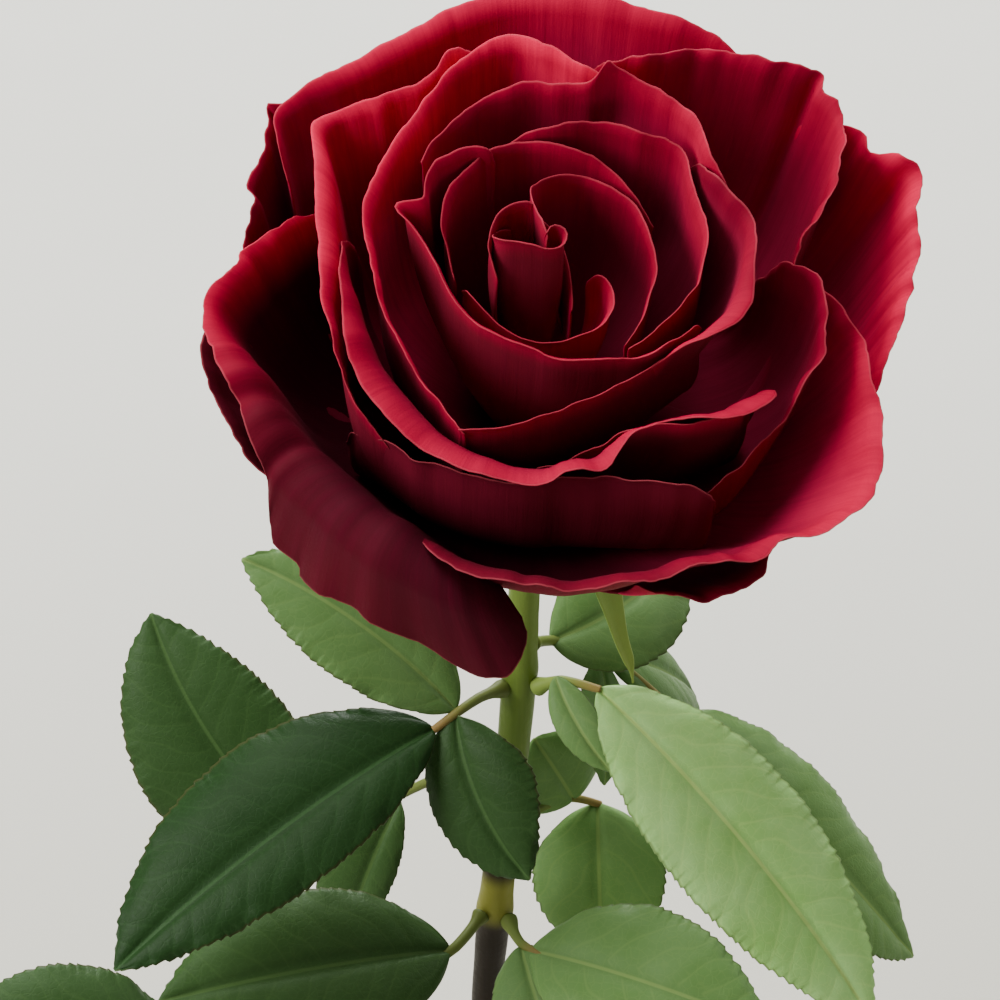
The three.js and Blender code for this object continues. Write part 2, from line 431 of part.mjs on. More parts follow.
// The largest body of a union: spaces sealed between blades are filled by it.
// Faces that are flat to within the tolerance are joined.
function fused(solids, tolerance) {
  const bodies = wasm.Manifold.union(solids).simplify(tolerance).decompose();
  return bodies.reduce((a, b) => (b.volume() > a.volume() ? b : a));
}

// A closed solid from triangles over a list of points, turned so that its faces look outwards.
function closedSolid(points, faces) {
  const geometry = new THREE.BufferGeometry();
  geometry.setAttribute("position", new THREE.Float32BufferAttribute(points.flatMap((p) => p.toArray()), 3));
  let volume = 0;
  for (const [a, b, c] of faces) {
    volume += points[a].dot(points[b].clone().cross(points[c]));
  }
  geometry.setIndex(faces.flatMap(([a, b, c]) => (volume > 0 ? [a, b, c] : [a, c, b])));
  return solidOf(geometry);
}

// A blade of even thickness round a grid of points, split alike on both faces.
function blade(grid, thickness) {
  const rows = grid.length;
  const columns = grid[0].length;
  const near = (i, last) => Math.max(0, Math.min(last, i));
  const points = [];
  for (const side of [0.5, -0.5]) {
    for (let i = 0; i < rows; i++) {
      for (let j = 0; j < columns; j++) {
        const along = grid[near(i + 1, rows - 1)][j].clone().sub(grid[near(i - 1, rows - 1)][j]);
        const across = grid[i][near(j + 1, columns - 1)].clone().sub(grid[i][near(j - 1, columns - 1)]);
        const normal = along.cross(across).normalize();
        points.push(grid[i][j].clone().addScaledVector(normal, side * thickness));
      }
    }
  }
  const back = rows * columns;
  const at = (i, j) => i * columns + j;
  const faces = [];
  for (let i = 0; i < rows - 1; i++) {
    for (let j = 0; j < columns - 1; j++) {
      const [a, b, c, d] = [at(i, j), at(i + 1, j), at(i + 1, j + 1), at(i, j + 1)];
      faces.push([a, b, c], [a, c, d], [back + a, back + c, back + b], [back + a, back + d, back + c]);
    }
  }
  const border = [];
  for (let i = 0; i < rows - 1; i++) border.push(at(i, 0));
  for (let j = 0; j < columns - 1; j++) border.push(at(rows - 1, j));
  for (let i = rows - 1; i > 0; i--) border.push(at(i, columns - 1));
  for (let j = columns - 1; j > 0; j--) border.push(at(0, j));
  border.forEach((a, k) => {
    const b = border[(k + 1) % border.length];
    faces.push([b, a, back + a], [b, back + a, back + b]);
  });
  return closedSolid(points, faces);
}

// A round rod along a list of points, with a radius at each of them.
function rod(path, radii, sides, pieces) {
  const curve = new THREE.CatmullRomCurve3(path, false, "centripetal");
  const frames = curve.computeFrenetFrames(pieces, false);
  const points = [];
  for (let i = 0; i <= pieces; i++) {
    const place = (i / pieces) * (radii.length - 1);
    const k = Math.min(Math.floor(place), radii.length - 2);
    const radius = THREE.MathUtils.lerp(radii[k], radii[k + 1], place - k);
    const centre = curve.getPoint(i / pieces);
    for (let j = 0; j < sides; j++) {
      const angle = (2 * Math.PI * j) / sides;
      const rim = frames.normals[i].clone().multiplyScalar(radius * Math.cos(angle));
      rim.addScaledVector(frames.binormals[i], radius * Math.sin(angle));
      points.push(centre.clone().add(rim));
    }
  }
  const faces = [];
  for (let i = 0; i < pieces; i++) {
    for (let j = 0; j < sides; j++) {
      const [a, b] = [i * sides + j, i * sides + ((j + 1) % sides)];
      faces.push([a, b, b + sides], [a, b + sides, a + sides]);
    }
  }
  const first = points.push(path[0].clone()) - 1;
  const last = points.push(path[path.length - 1].clone()) - 1;
  for (let j = 0; j < sides; j++) {
    const next = (j + 1) % sides;
    faces.push([first, next, j], [last, pieces * sides + j, pieces * sides + next]);
  }
  return closedSolid(points, faces);
}

// A smooth run through the rows of a table, at the given share of its length.
function tableRun(table) {
  const place = ([azimuth, radius, height]) =>
    new THREE.Vector3(radius * Math.cos(radians(azimuth)), radius * Math.sin(radians(azimuth)), height);
  const knots = [0];
  for (let i = 1; i < table.length; i++) {
    knots.push(knots[i - 1] + Math.max(0.5, place(table[i]).distanceTo(place(table[i - 1]))));
  }
  const total = knots[knots.length - 1];
  const slope = (i, c) => (table[i + 1][c] - table[i][c]) / (knots[i + 1] - knots[i]);
  const tangent = (i, c) => {
    if (i === 0) return slope(0, c);
    if (i === table.length - 1) return slope(i - 1, c);
    const share = (knots[i + 1] - knots[i]) / (knots[i + 1] - knots[i - 1]);
    const mean = slope(i - 1, c) * share + slope(i, c) * (1 - share);
    return slope(i - 1, c) * slope(i, c) <= 0 ? mean * TURN_EASE : mean;
  };
  return (u) => {
    const s = u * total;
    let i = 0;
    while (i < table.length - 2 && knots[i + 1] <= s) i++;
    const step = knots[i + 1] - knots[i];
    const t = (s - knots[i]) / step;
    return table[i].map((value, c) => {
      const h00 = 2 * t ** 3 - 3 * t ** 2 + 1;
      const h10 = t ** 3 - 2 * t ** 2 + t;
      const h01 = -2 * t ** 3 + 3 * t ** 2;
      const h11 = t ** 3 - t ** 2;
      return h00 * value + h10 * step * tangent(i, c) + h01 * table[i + 1][c] + h11 * step * tangent(i + 1, c);
    });
  };
}

// ---------- the bloom ----------
function petalGrid(petal, ribs, steps, rollSteps) {
  const run = tableRun(petal.rim);
  const rows = [...Array(ribs).keys()].map((i) => run(i / (ribs - 1)));
  const middle = rows.reduce((sum, row) => sum + row[0], 0) / ribs;
  const way = Math.sign(petal.rim[petal.rim.length - 1][0] - petal.rim[0][0]);
  return rows.map(([azimuth, radius, height, lean, rollLength, rollTurn, drift], i) => {
    const claw = middle + way * petal.spread * CLAW_SHARE * ((2 * i) / (ribs - 1) - 1);
    const foot = new THREE.Vector2(petal.claw, 0);
    const rim = new THREE.Vector2(radius, height);
    const chord = foot.distanceTo(rim);
    const [rise, tip] = [radians(petal.rise), radians(lean)];
    const curve = new THREE.CubicBezierCurve(
      foot,
      new THREE.Vector2(Math.cos(rise), Math.sin(rise)).multiplyScalar(chord * petal.pull[0]).add(foot),
      new THREE.Vector2(Math.cos(tip), Math.sin(tip)).multiplyScalar(-chord * petal.pull[1]).add(rim),
      rim,
    );
    const place = (r, z, angle) => new THREE.Vector3(r * Math.cos(angle), r * Math.sin(angle), z);
    const rib = [];
    for (let j = 0; j <= steps; j++) {
      const v = j / steps;
      const point = curve.getPoint(v);
      rib.push(place(point.x, point.y, radians(claw + (azimuth - claw) * (1 - (1 - v) ** 2))));
    }
    const length = Math.max(LEAST_ROLL, rollLength);
    const turn = radians(Math.max(LEAST_TURN, rollTurn));
    const bend = Math.min(petal.bend, length / turn);
    for (let j = 1; j <= rollSteps; j++) {
      const run = (length * j) / rollSteps;
      const angle = Math.min(turn, run / bend);
      const straight = run - angle * bend;
      const r = radius + bend * (Math.sin(tip) - Math.sin(tip - angle)) + straight * Math.cos(tip - angle);
      const z = height + bend * (Math.cos(tip - angle) - Math.cos(tip)) + straight * Math.sin(tip - angle);
      rib.push(place(r, z, radians(azimuth + (drift * j) / rollSteps)));
    }
    return rib;
  });
}

function makeBloom() {
  const solids = PETALS.map((petal) => {
    const ribs = Math.min(MOST_RIBS, Math.max(FEWEST_RIBS, petal.rim.length));
    const longest = Math.max(...petal.rim.map((row) => row[4]));
    const rollSteps = Math.min(MOST_ROLL_STEPS, Math.ceil(longest / ROLL_STEP));
    return blade(petalGrid(petal, ribs, RIB_STEPS, rollSteps), BLADE);
  });
  const outline = SEAT_PROFILE.map((p) => new THREE.Vector2(...p));
  const seat = new THREE.LatheGeometry(outline, SEAT_SIDES);
  seat.rotateX(Math.PI / 2);
  solids.push(solidOf(seat));
  return geometryOf(fused(solids, PETAL_TOLERANCE));
}

// ---------- the hip and sepals ----------
function sepal({ azimuth, path }) {
  const curve = new THREE.CatmullRomCurve3(path.map(([r, z, w]) => new THREE.Vector3(r, z, w)));
  const out = new THREE.Vector3(Math.cos(radians(azimuth)), Math.sin(radians(azimuth)), 0);
  const side = new THREE.Vector3(-out.y, out.x, 0);
  const grid = [];
  for (let i = 0; i <= SEPAL_STEPS; i++) {
    const { x: r, y: z, z: half } = curve.getPoint(i / SEPAL_STEPS);
    grid.push(
      [-1, 0, 1].map((c) => {
        const cup = SEPAL_CUP * half * Math.abs(c);
        return out.clone().multiplyScalar(r + cup).addScaledVector(side, c * half).setComponent(2, z + cup);
      }),
    );
  }
  return blade(grid, BLADE);
}

function makeCalyx() {
  const top = SEAT_PROFILE[0][1] - GAP;
  const neck = [[NECK_RADIUS, -HIP_LENGTH], [0, -HIP_LENGTH]];
  const profile = [[0, top], [HIP_TOP_RADIUS, top], ...HIP_PROFILE, ...neck];
  const outline = profile.reverse().map((p) => new THREE.Vector2(...p));
  const hip = new THREE.LatheGeometry(outline, SEAT_SIDES);
  hip.rotateX(Math.PI / 2);
  return geometryOf(fused([solidOf(hip), ...SEPALS.map(sepal)], LEAF_TOLERANCE));
}

// ---------- the stem ----------
function axisPoint(height) {
  const tilt = radians(BLOOM_TILT);
  return new THREE.Vector3(0, -Math.sin(tilt), Math.cos(tilt)).multiplyScalar(height).add(RECEPTACLE);
}

function stemPath() {
  return [axisPoint(-HIP_LENGTH - GAP), ...STEM.map(vector)];
}

// extra makes the rod thicker and longer, for the hole that it stands in
function makeStem(extra) {
  const path = stemPath();
  const end = path[path.length - 1];
  end.addScaledVector(end.clone().sub(path[path.length - 2]).normalize(), extra);
  const radii = [NECK_RADIUS, ...STEM.map((p) => p[3])].map((r) => r + extra);
  return rod(path, radii, STEM_SIDES, STEM_PIECES);
}

// ---------- the leaves ----------
function leafletGrid([base, tip, half, facing, arch, sideBend], columns) {
  const [from, to, up] = [vector(base), vector(tip), vector(facing)];
  const line = to.clone().sub(from);
  const sideways = line.clone().cross(up).normalize();
  const lift = sideways.clone().cross(line).normalize();
  const control = (t) =>
    from.clone().addScaledVector(line, t).addScaledVector(lift, arch).addScaledVector(sideways, sideBend);
  const midrib = new THREE.CubicBezierCurve3(from, control(0.3), control(0.7), to);
  const stations = 2 * TEETH + 2;
  const grid = [];
  for (let i = 0; i <= stations; i++) {
    const s = i / stations;
    const shape = (s ** LEAFLET_SHAPE[0] * (1 - s) ** LEAFLET_SHAPE[1]) / LEAFLET_SHAPE[2];
    const tooth = i % 2 === 1 ? 1 : 1 - TOOTH_DEPTH;
    const width = Math.max(NARROWEST, half * shape * tooth);
    const along = midrib.getTangent(s);
    const across = along.clone().cross(up).normalize();
    const normal = across.clone().cross(along).normalize();
    grid.push(
      columns.map((c) => {
        const rise = width * (FOLD * Math.abs(c) - CURL * c * c);
        return midrib.getPoint(s).addScaledVector(across, c * width).addScaledVector(normal, rise);
      }),
    );
  }
  return grid;
}

function makeLeaf({ stalk, leaflets }) {
  const wide = [-1, -0.5, 0, 0.5, 1];
  const narrow = [-1, 0, 1];
  const solids = leaflets.map((leaflet) => {
    const columns = leaflet[2] > WIDE_LEAFLET ? wide : narrow;
    return blade(leafletGrid(leaflet, columns), BLADE);
  });
  solids.push(rod(stalk.map(vector), STALK_RADIUS, STALK_SIDES, 2 * stalk.length));
  return geometryOf(fused(solids, LEAF_TOLERANCE));
}

// ---------- the vase and its water ----------
function vaseOutside() {
  const curve = new THREE.SplineCurve(VASE_OUTSIDE.slice(1).map((p) => new THREE.Vector2(...p)));
  return curve.getPoints(VASE_RINGS);
}

function vaseInside(shrink) {
  const wall = vaseOutside().map((p) => new THREE.Vector2(p.x - VASE_WALL - shrink, p.y));
  return wall.filter((p) => p.y > VASE_FLOOR + 2);
}

function makeVase() {
  const outside = vaseOutside();
  const inside = vaseInside(0).reverse();
  const middle = outside[outside.length - 1].x - VASE_WALL / 2;
  const profile = [
    new THREE.Vector2(0, 0),
    new THREE.Vector2(...VASE_OUTSIDE[0]),
    ...outside,
    new THREE.Vector2(middle + VASE_LIP * LIP_CORNER, VASE_HEIGHT - VASE_LIP * (1 - LIP_CORNER)),
    new THREE.Vector2(middle, VASE_HEIGHT),
    new THREE.Vector2(middle - VASE_LIP * LIP_CORNER, VASE_HEIGHT - VASE_LIP * (1 - LIP_CORNER)),
    ...inside,
    new THREE.Vector2(inside[inside.length - 1].x - FLOOR_CORNER, VASE_FLOOR),
    new THREE.Vector2(0, VASE_FLOOR),
  ];
  const lathe = new THREE.LatheGeometry(profile, VASE_SIDES);
  lathe.rotateX(Math.PI / 2);
  return lathe;
}

function makeWater() {
  const inside = vaseInside(GAP);
  const over = inside.findIndex((p) => p.y > WATER_LEVEL);
  const share = (WATER_LEVEL - inside[over - 1].y) / (inside[over].y - inside[over - 1].y);
  const profile = [
    new THREE.Vector2(0, VASE_FLOOR + GAP),
    new THREE.Vector2(inside[0].x - FLOOR_CORNER, VASE_FLOOR + GAP),
    ...inside.slice(0, over),
    inside[over - 1].clone().lerp(inside[over], share),
    new THREE.Vector2(0, WATER_LEVEL),
  ];
  const body = new THREE.LatheGeometry(profile, VASE_SIDES);
  body.rotateX(Math.PI / 2);
  return geometryOf(solidOf(body).subtract(makeStem(GAP)));
}

// ---------- the rose ----------
const rose = new THREE.Group();

function add(parent, name, geometry, material) {
  const mesh = new THREE.Mesh(geometry, material);
  mesh.name = name;
  parent.add(mesh);
}

add(rose, "vase", makeVase(), GLAZE);
add(rose, "water", makeWater(), WATER);
add(rose, "stem", geometryOf(makeStem(0)), STEM_GREEN);
for (const leaf of LEAVES) {
  add(rose, leaf.name, makeLeaf(leaf), LEAF_GREEN);
}

const flower = new THREE.Group();
flower.position.copy(RECEPTACLE);
flower.rotation.x = radians(BLOOM_TILT);
rose.add(flower);
add(flower, "calyx", makeCalyx(), SEPAL_GREEN);
add(flower, "bloom", makeBloom(), PETAL_RED);

export default rose;
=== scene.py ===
"""A single red rose standing in a slender off-white bud vase with water.

Tables give the petals, sepals, stem, leaves and vase in millimetres, and the functions turn them into
closed meshes with fine rims, teeth and veins. The meshes are in metres: the origin is the middle of
the vase's foot and z points up.
"""

import math

import bpy
import numpy as np
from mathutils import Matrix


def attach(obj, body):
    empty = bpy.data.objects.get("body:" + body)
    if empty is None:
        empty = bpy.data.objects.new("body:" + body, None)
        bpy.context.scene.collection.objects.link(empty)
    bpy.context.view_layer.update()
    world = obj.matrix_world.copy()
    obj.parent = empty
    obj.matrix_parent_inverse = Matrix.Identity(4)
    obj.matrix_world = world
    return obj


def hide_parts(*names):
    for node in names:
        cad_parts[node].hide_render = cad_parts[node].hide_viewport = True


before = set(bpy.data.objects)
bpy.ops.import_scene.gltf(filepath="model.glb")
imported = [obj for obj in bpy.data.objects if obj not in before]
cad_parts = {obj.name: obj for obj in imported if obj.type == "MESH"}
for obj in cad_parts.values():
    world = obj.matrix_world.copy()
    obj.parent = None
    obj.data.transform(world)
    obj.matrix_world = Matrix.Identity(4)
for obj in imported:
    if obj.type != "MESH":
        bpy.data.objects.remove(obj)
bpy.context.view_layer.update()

MM = 0.001
SEED = 7

# ---------- camera and lights ----------
CAMERA_PLACE = (0.9, -449.9, 517.0)
CAMERA_PITCH = 62  # degrees from straight down
LENS = 100
SENSOR = 36
# name, place, target, size, power, colour; in metres and watts
LIGHTS = [
    ("overhead", (-0.3, 0.15, 1.7), (0, 0, 0.3), 1.5, 37, (1, 0.995, 0.97)),
    ("left", (-1.2, -0.5, 1.0), (0, 0, 0.3), 1.0, 35, (1, 0.99, 0.97)),
    ("right", (1.3, 0.5, 1.1), (0, 0, 0.3), 0.8, 10, (1, 1, 0.98)),
    ("far", (0, 2.4, 1.8), (0, 2.1, 0), 1.6, 150, (1, 1, 0.97)),
]
ROOM_COLOUR = (0.86, 0.86, 0.85, 1)
ROOM_STRENGTH = 0.25
FLOOR_HALF = 9.0  # metres

# ---------- flower ----------
RECEPTACLE = np.array([6.0, -14.0, 300.0])  # the petals' seat
BLOOM_TILT = 28  # degrees the flower faces forwards
PETAL_BODY = 0.42  # thickness at the claw
PETAL_EDGE = 0.2  # thickness at the rim
THINNING = 6  # how far from the rim the blade starts to thin
RIB_ROWS = 30  # rows of a petal from its claw to the roll
RIM_STEP = 0.8  # spacing of the ribs along the rim
LEAST_RIBS = 28
ROLL_STEP = 0.7
LEAST_ROLL = 0.6  # every rim opens outwards by at least this length
LEAST_TURN = 40  # and this angle in degrees
SOFT_LENGTH = 1.6  # a short roll starts this much sooner
SOFT_TURN = 0.6  # and turns this share of its angle
LONG_ROLL = (6, 14)  # rolls between these lengths pass from soft to tight
ROLL_TIGHTENING = 1.25  # above 1, a roll bends more towards its end
CLAW_SHARE = 0.45  # half the claw's width, as a share of its spread
TURN_EASE = 0.35  # share of a slope that stays where a value turns back along the rim
BACK_SHARE = 0.27  # painted light on the outside, as a share of the inside's
BACK_LIMIT = 0.13
# waves along a petal's rim: their lengths and their heights
BROAD_WAVES = ((17, 9.3), (0.9, 0.5))
PLEATS = ((5.7, 3.6, 2.3), (0.14, 0.1, 0.05))
SWELLS = ((26, 15), (0.5, 0.35))
NICKS = ((8.7, 4.3, 2.3), (0.3, 0.22, 0.1))
WAVE_FADE = 7  # how far from the rim they die away
PLEAT_FADE = 12
NICK_FADE = 2.5
MOST_NICKED = 0.6  # more ruffle than this makes the nicks no deeper

# Sizes are in the flower's own frame: the seat is its origin and z its axis.
# spread: width of the claw round the axis, in degrees; claw: its distance from the axis;
# rise: the blade's angle as it leaves the claw; pull: how far the blade follows the angles
# at its two ends; bend: radius of the rolled edge; ruffle: height of the waves along the rim.
# rim: points along the free edge, each with (azimuth, radius, height, lean of the blade, length
# rolled outwards, angle rolled, drift of the roll). A point leaves out the last ones that are 0.
# folds: creases as (place along the rim as a share, width, height, reach from the rim).
# painted_highlight: the painted highlight along the rim, from its first to its last point; reach: how far
# from the rim that fades; painted_inside_light: painted light and shade on the inside beyond it;
# back: painted light on the outside.
PETALS = [
    dict(
        name="heart_a", spread=120, claw=1.2, rise=88, pull=(0.45, 0.38), bend=1.5, ruffle=0.12, painted_highlight=0.3,
        reach=12, painted_inside_light=0.6,
        rim=[
            (140, 4.4, 49.5, 95), (184, 6.2, 52, 93, 0.2, 40), (200, 5.6, 53.4, 92, 0.5, 60),
            (236, 3.4, 54, 92, 0.8, 90), (272, 3, 53.6, 92, 1, 100), (303, 3.6, 52.6, 92, 1.2, 110),
            (325, 4.6, 52.2, 92, 1.1, 100), (342, 5.4, 52.8, 92, 0.8, 80), (355, 5.3, 53.4, 90, 0.5, 60),
            (362, 4.3, 53.8, 90), (364, 3, 53.8, 90), (345, 2.3, 53.2, 90),
        ],
    ),
    dict(
        name="heart_b", spread=120, claw=1.9, rise=88, pull=(0.45, 0.38), bend=1.5, ruffle=0.12, painted_highlight=0.4,
        reach=12, painted_inside_light=0.6,
        rim=[
            (215, 6.8, 46, 96), (192, 6.8, 50.4, 94), (176, 6.4, 52.4, 94, 0.4, 60),
            (147, 5.9, 53.6, 94, 0.4, 60), (118, 5.1, 54.2, 92), (96, 4.8, 54.2, 90), (84, 4.6, 53, 90),
        ],
    ),
    dict(
        name="heart_c", spread=150, claw=2.7, rise=86, pull=(0.5, 0.38), bend=1.6, ruffle=0.12, painted_highlight=0.4,
        reach=12, painted_inside_light=0.6,
        rim=[
            (-28, 7.4, 37, 92), (0, 6, 42, 92), (50, 5.6, 47, 92), (84, 5.4, 50, 92),
        ],
    ),
    dict(
        name="p1", spread=160, claw=3.2, rise=76, pull=(0.5, 0.4), bend=2, ruffle=0.2, painted_highlight=0.35, reach=16,
        painted_inside_light=0.35,
        rim=[
            (-30, 2.6, 50.6, 92), (-18, 2.3, 52.6, 92), (18, 1.7, 53.6, 92, 0.2, 40),
            (62, 2.6, 53.8, 92, 0.3, 40), (80, 4.2, 53.6, 92, 0.4, 50), (89, 6.8, 53, 92, 0.4, 50),
            (90, 9, 52.2, 92, 0.4, 50), (87, 11.2, 50.8, 92, 0.5, 50), (78, 14.3, 49.2, 92, 0.7, 60),
            (64, 17.5, 47.5, 92, 0.8, 70), (50, 19, 46.5, 92, 0.8, 70), (36, 20, 45.5, 92, 0.8, 70),
            (20, 20.2, 44, 92, 0.8, 70), (5, 20, 42.5, 92, 0.8, 70), (-8, 19.6, 41, 92, 0.6, 60),
            (-22, 19.2, 39.5, 93, 0.4, 50), (-36, 18.6, 37.5, 95),
        ],
    ),
    dict(
        name="f1", spread=150, claw=3, rise=80, pull=(0.5, 0.38), bend=1.6, ruffle=0.2, painted_highlight=0.5, reach=12,
        painted_inside_light=1.2, back=0.45,
        rim=[
            (178, 10.6, 35, 94), (188, 11, 39.6, 94), (199, 10.6, 41.4, 94, 0.3, 50),
            (215, 9.8, 40.5, 94, 0.6, 60), (233, 9.4, 39, 94, 0.8, 70), (257, 9.6, 38, 94, 0.8, 80),
            (283, 10.6, 37.5, 94, 0.8, 80), (303, 11.8, 37.8, 92, 0.8, 80), (325, 13.2, 38.6, 90, 1, 80),
            (342, 13.6, 39.4, 90, 1, 80), (352, 13.2, 40, 92, 0.8, 70), (360, 12.2, 40.4, 92, 0.4, 50),
            (368, 10.8, 39.6, 94), (374, 9.4, 37, 94),
        ],
    ),
    dict(
        name="p2", spread=160, claw=3.8, rise=70, pull=(0.5, 0.42), bend=2, ruffle=0.25, painted_highlight=0.4, reach=16,
        painted_inside_light=0.35,
        rim=[
            (188, 12.5, 42.5, 94), (166, 13.8, 44.5, 93, 0.5, 50), (158, 15.4, 47, 92, 0.8, 70),
            (146, 16.4, 49.4, 90, 1.2, 90), (134, 16.8, 51, 90, 1, 80), (121, 17.2, 52, 90, 0.8, 70),
            (114, 18, 52.6, 90, 0.5, 60), (104, 18.6, 52.2, 90, 0.8, 70), (76, 19.4, 51.2, 90, 1, 80),
            (62, 20.4, 49.8, 90, 0.8, 70), (50, 21, 47.8, 90, 0.6, 60), (38, 21.8, 45, 92, 0.3, 40),
            (26, 22.2, 42, 94),
        ],
    ),
    dict(
        name="p3", spread=170, claw=4.4, rise=68, pull=(0.5, 0.42), bend=2, ruffle=0.25,
        painted_highlight=(0.45, 0.5, 0.5), reach=14, painted_inside_light=0.45,
        rim=[
            (110, 17.4, 50.4, 90), (113, 17.8, 53.4, 90, 0.6, 60), (122, 18.6, 54.2, 90, 1, 70),
            (131, 19.2, 54.4, 90, 1, 70), (139, 20.2, 53.8, 88, 1, 70), (148, 19.8, 52.4, 88, 0.8, 60),
            (155, 18.8, 51, 88, 1, 80), (158, 20, 50.4, 88, 1.6, 90), (161, 21.6, 49.6, 86, 2.4, 110),
            (166, 19.8, 48.5, 88, 1.4, 90), (173, 17.2, 47, 92, 0.8, 70), (184, 15.4, 46, 93, 0.7, 70),
            (199, 14.2, 44, 94, 0.8, 80), (220, 12.8, 42, 94, 1, 90), (245, 12.4, 41, 94, 1.2, 100),
            (268, 13.2, 40, 94, 1.4, 100), (287, 15.2, 39.5, 94, 1.6, 110), (301, 17.4, 39, 93, 1.8, 110),
            (314, 20.2, 39, 92, 1.6, 100), (323, 23.6, 40, 92, 1.2, 90), (331, 26.2, 41, 92, 0.8, 60),
            (338, 28, 41, 92, 0.4, 40), (345, 28.4, 37, 92),
        ],
    ),
    dict(
        name="t3", spread=160, claw=5, rise=60, pull=(0.5, 0.45), bend=2, ruffle=0.3, painted_highlight=0.4, reach=16,
        painted_inside_light=0.4,
        rim=[
            (106, 20, 47, 90), (98, 20.4, 51.4, 90, 0.4, 50), (90, 20.6, 53, 90, 0.6, 60),
            (82, 21.2, 53.8, 90, 0.6, 60), (73, 22.4, 54, 90, 0.8, 70), (64, 24.6, 53.2, 90, 0.8, 70),
            (56, 26.4, 52.8, 90, 0.8, 70), (49, 27.8, 52, 90, 0.8, 70), (43, 29.8, 51.4, 90, 0.8, 70),
            (38, 30.8, 50.4, 90, 0.8, 70), (31, 30, 49.6, 90, 0.8, 70), (22, 28.6, 48.5, 90, 0.8, 70),
            (8, 28.4, 47, 91, 0.8, 70), (0, 28, 46, 92, 0.6, 60), (-8, 27, 44, 93, 0.5, 50),
            (-22, 23.4, 41.5, 94), (-38, 19.8, 38, 96),
        ],
    ),
    dict(
        name="t2", spread=150, claw=5.6, rise=54, pull=(0.5, 0.48), bend=2.2, ruffle=0.35, painted_highlight=0.5,
        reach=16, painted_inside_light=0.8,
        rim=[
            (142, 22.5, 53.5, 90), (120, 24.4, 55.6, 90, 0.6, 60), (104, 26.2, 56, 90, 1, 80),
            (92, 27.4, 56.6, 90, 1.2, 80), (76, 27.6, 57, 90, 1, 70), (70, 28.6, 58.2, 90, 0.8, 60),
            (66.4, 31.2, 61, 86, 0.4, 60), (63, 32.2, 59, 88, 0.6, 60), (58, 33, 56.8, 88, 1, 70),
            (50, 34, 55.2, 88, 1.2, 80), (40, 34.2, 54.4, 88, 1.2, 80), (31, 33.2, 53.5, 88, 0.8, 70),
            (22, 33, 51.4, 90, 0.4, 50), (15, 34, 47.6, 92), (9, 34.6, 41, 92),
        ],
    ),
    dict(
        name="p4", spread=150, claw=5.4, rise=56, pull=(0.5, 0.46), bend=2.2, ruffle=0.3,
        painted_highlight=(0.15, 0.2, 0.3, 0.55, 0.3), reach=12, painted_inside_light=0.4,
        rim=[
            (39, 32, 43, 92), (32, 31.8, 49.4, 90), (25, 31.4, 52, 90, 0.6, 60),
            (20, 31.8, 52.6, 88, 1, 80), (15.6, 32.6, 52, 86, 1.2, 80), (10, 34, 51, 84, 1.4, 80),
            (4, 35, 50, 84, 1.6, 90), (-2, 34.8, 49, 82, 1.8, 90), (-9, 33.8, 47.4, 80, 2.6, 110),
            (-15, 33.2, 46, 76, 3.8, 130), (-20, 31.8, 44.4, 76, 4, 140), (-25, 29.6, 43, 80, 3, 120),
            (-31, 27, 41.2, 84, 1.4, 90), (-36, 25, 38, 90, 0.4, 50), (-42, 23, 33, 94), (-50, 21, 27, 94),
        ],
    ),
    dict(
        name="p5", spread=150, claw=5.8, rise=48, pull=(0.5, 0.5), bend=2, ruffle=0.25, painted_highlight=0.4, reach=14,
        painted_inside_light=0.4,
        rim=[
            (245, 27.5, 33.5, 92), (256, 25.6, 34, 93, 0.5, 50), (270, 23.8, 34.5, 94, 0.7, 70),
            (285, 22.4, 35.2, 94, 0.8, 70), (300, 22.2, 36, 94, 0.8, 70), (314, 23.4, 37, 93, 0.8, 70),
            (327, 25.6, 38, 92, 0.8, 60), (336, 27.8, 38.4, 92, 0.4, 40), (342, 28.6, 36, 93),
            (346, 28.6, 31, 93),
        ],
    ),
    dict(
        name="t1", spread=170, claw=6.2, rise=42, pull=(0.5, 0.52), bend=2.4, ruffle=0.35,
        painted_highlight=(0.6, 1, 1, 0.8, 0.5), reach=20, painted_inside_light=1.67,
        rim=[
            (50, 36.8, 41, 90), (56, 36, 48, 90), (62, 34.2, 53, 90, 0.4, 50), (69, 32.2, 56, 90, 0.8, 60),
            (77, 32.4, 57.2, 90, 1, 70), (85, 33.8, 58, 88, 1.6, 90), (92, 35.4, 58, 88, 2, 100),
            (99, 35.6, 57.8, 88, 2, 100), (105, 34.8, 57.2, 88, 1.6, 90), (111, 33.4, 56.8, 88, 1.4, 80),
            (119, 31, 56, 88, 1.4, 80), (130, 28.6, 54.8, 88, 1.6, 90), (140, 27.6, 53.4, 88, 1.8, 90),
            (150, 27.2, 51.6, 88, 2, 100), (160, 27.2, 49.8, 88, 2, 100), (168, 26.6, 47.8, 88, 1.8, 100),
            (178, 25.4, 46, 90, 1.4, 90), (190, 25, 43.6, 91, 1.2, 80), (202, 24.6, 41, 92, 1, 80),
            (213, 24, 39, 92, 1, 80), (223, 24.2, 37, 92, 0.8, 70), (234, 25.4, 35, 92, 0.6, 60),
            (247, 27.6, 33, 92),
        ],
    ),
    dict(
        name="r1", spread=170, claw=7, rise=26, pull=(0.55, 0.55), bend=2.4, ruffle=0.3,
        painted_highlight=(0.35, 0.45, 0.5, 0.5, 0.4), reach=9, painted_inside_light=0.3,
        rim=[
            (158, 31, 32, 90), (165, 31.4, 40.4, 88), (171, 31.2, 43.4, 88, 0.2, 40),
            (176, 30.8, 44.6, 86, 0.6, 60), (183, 30, 44.4, 84, 1.6, 90), (190, 29, 43.4, 82, 2.8, 110),
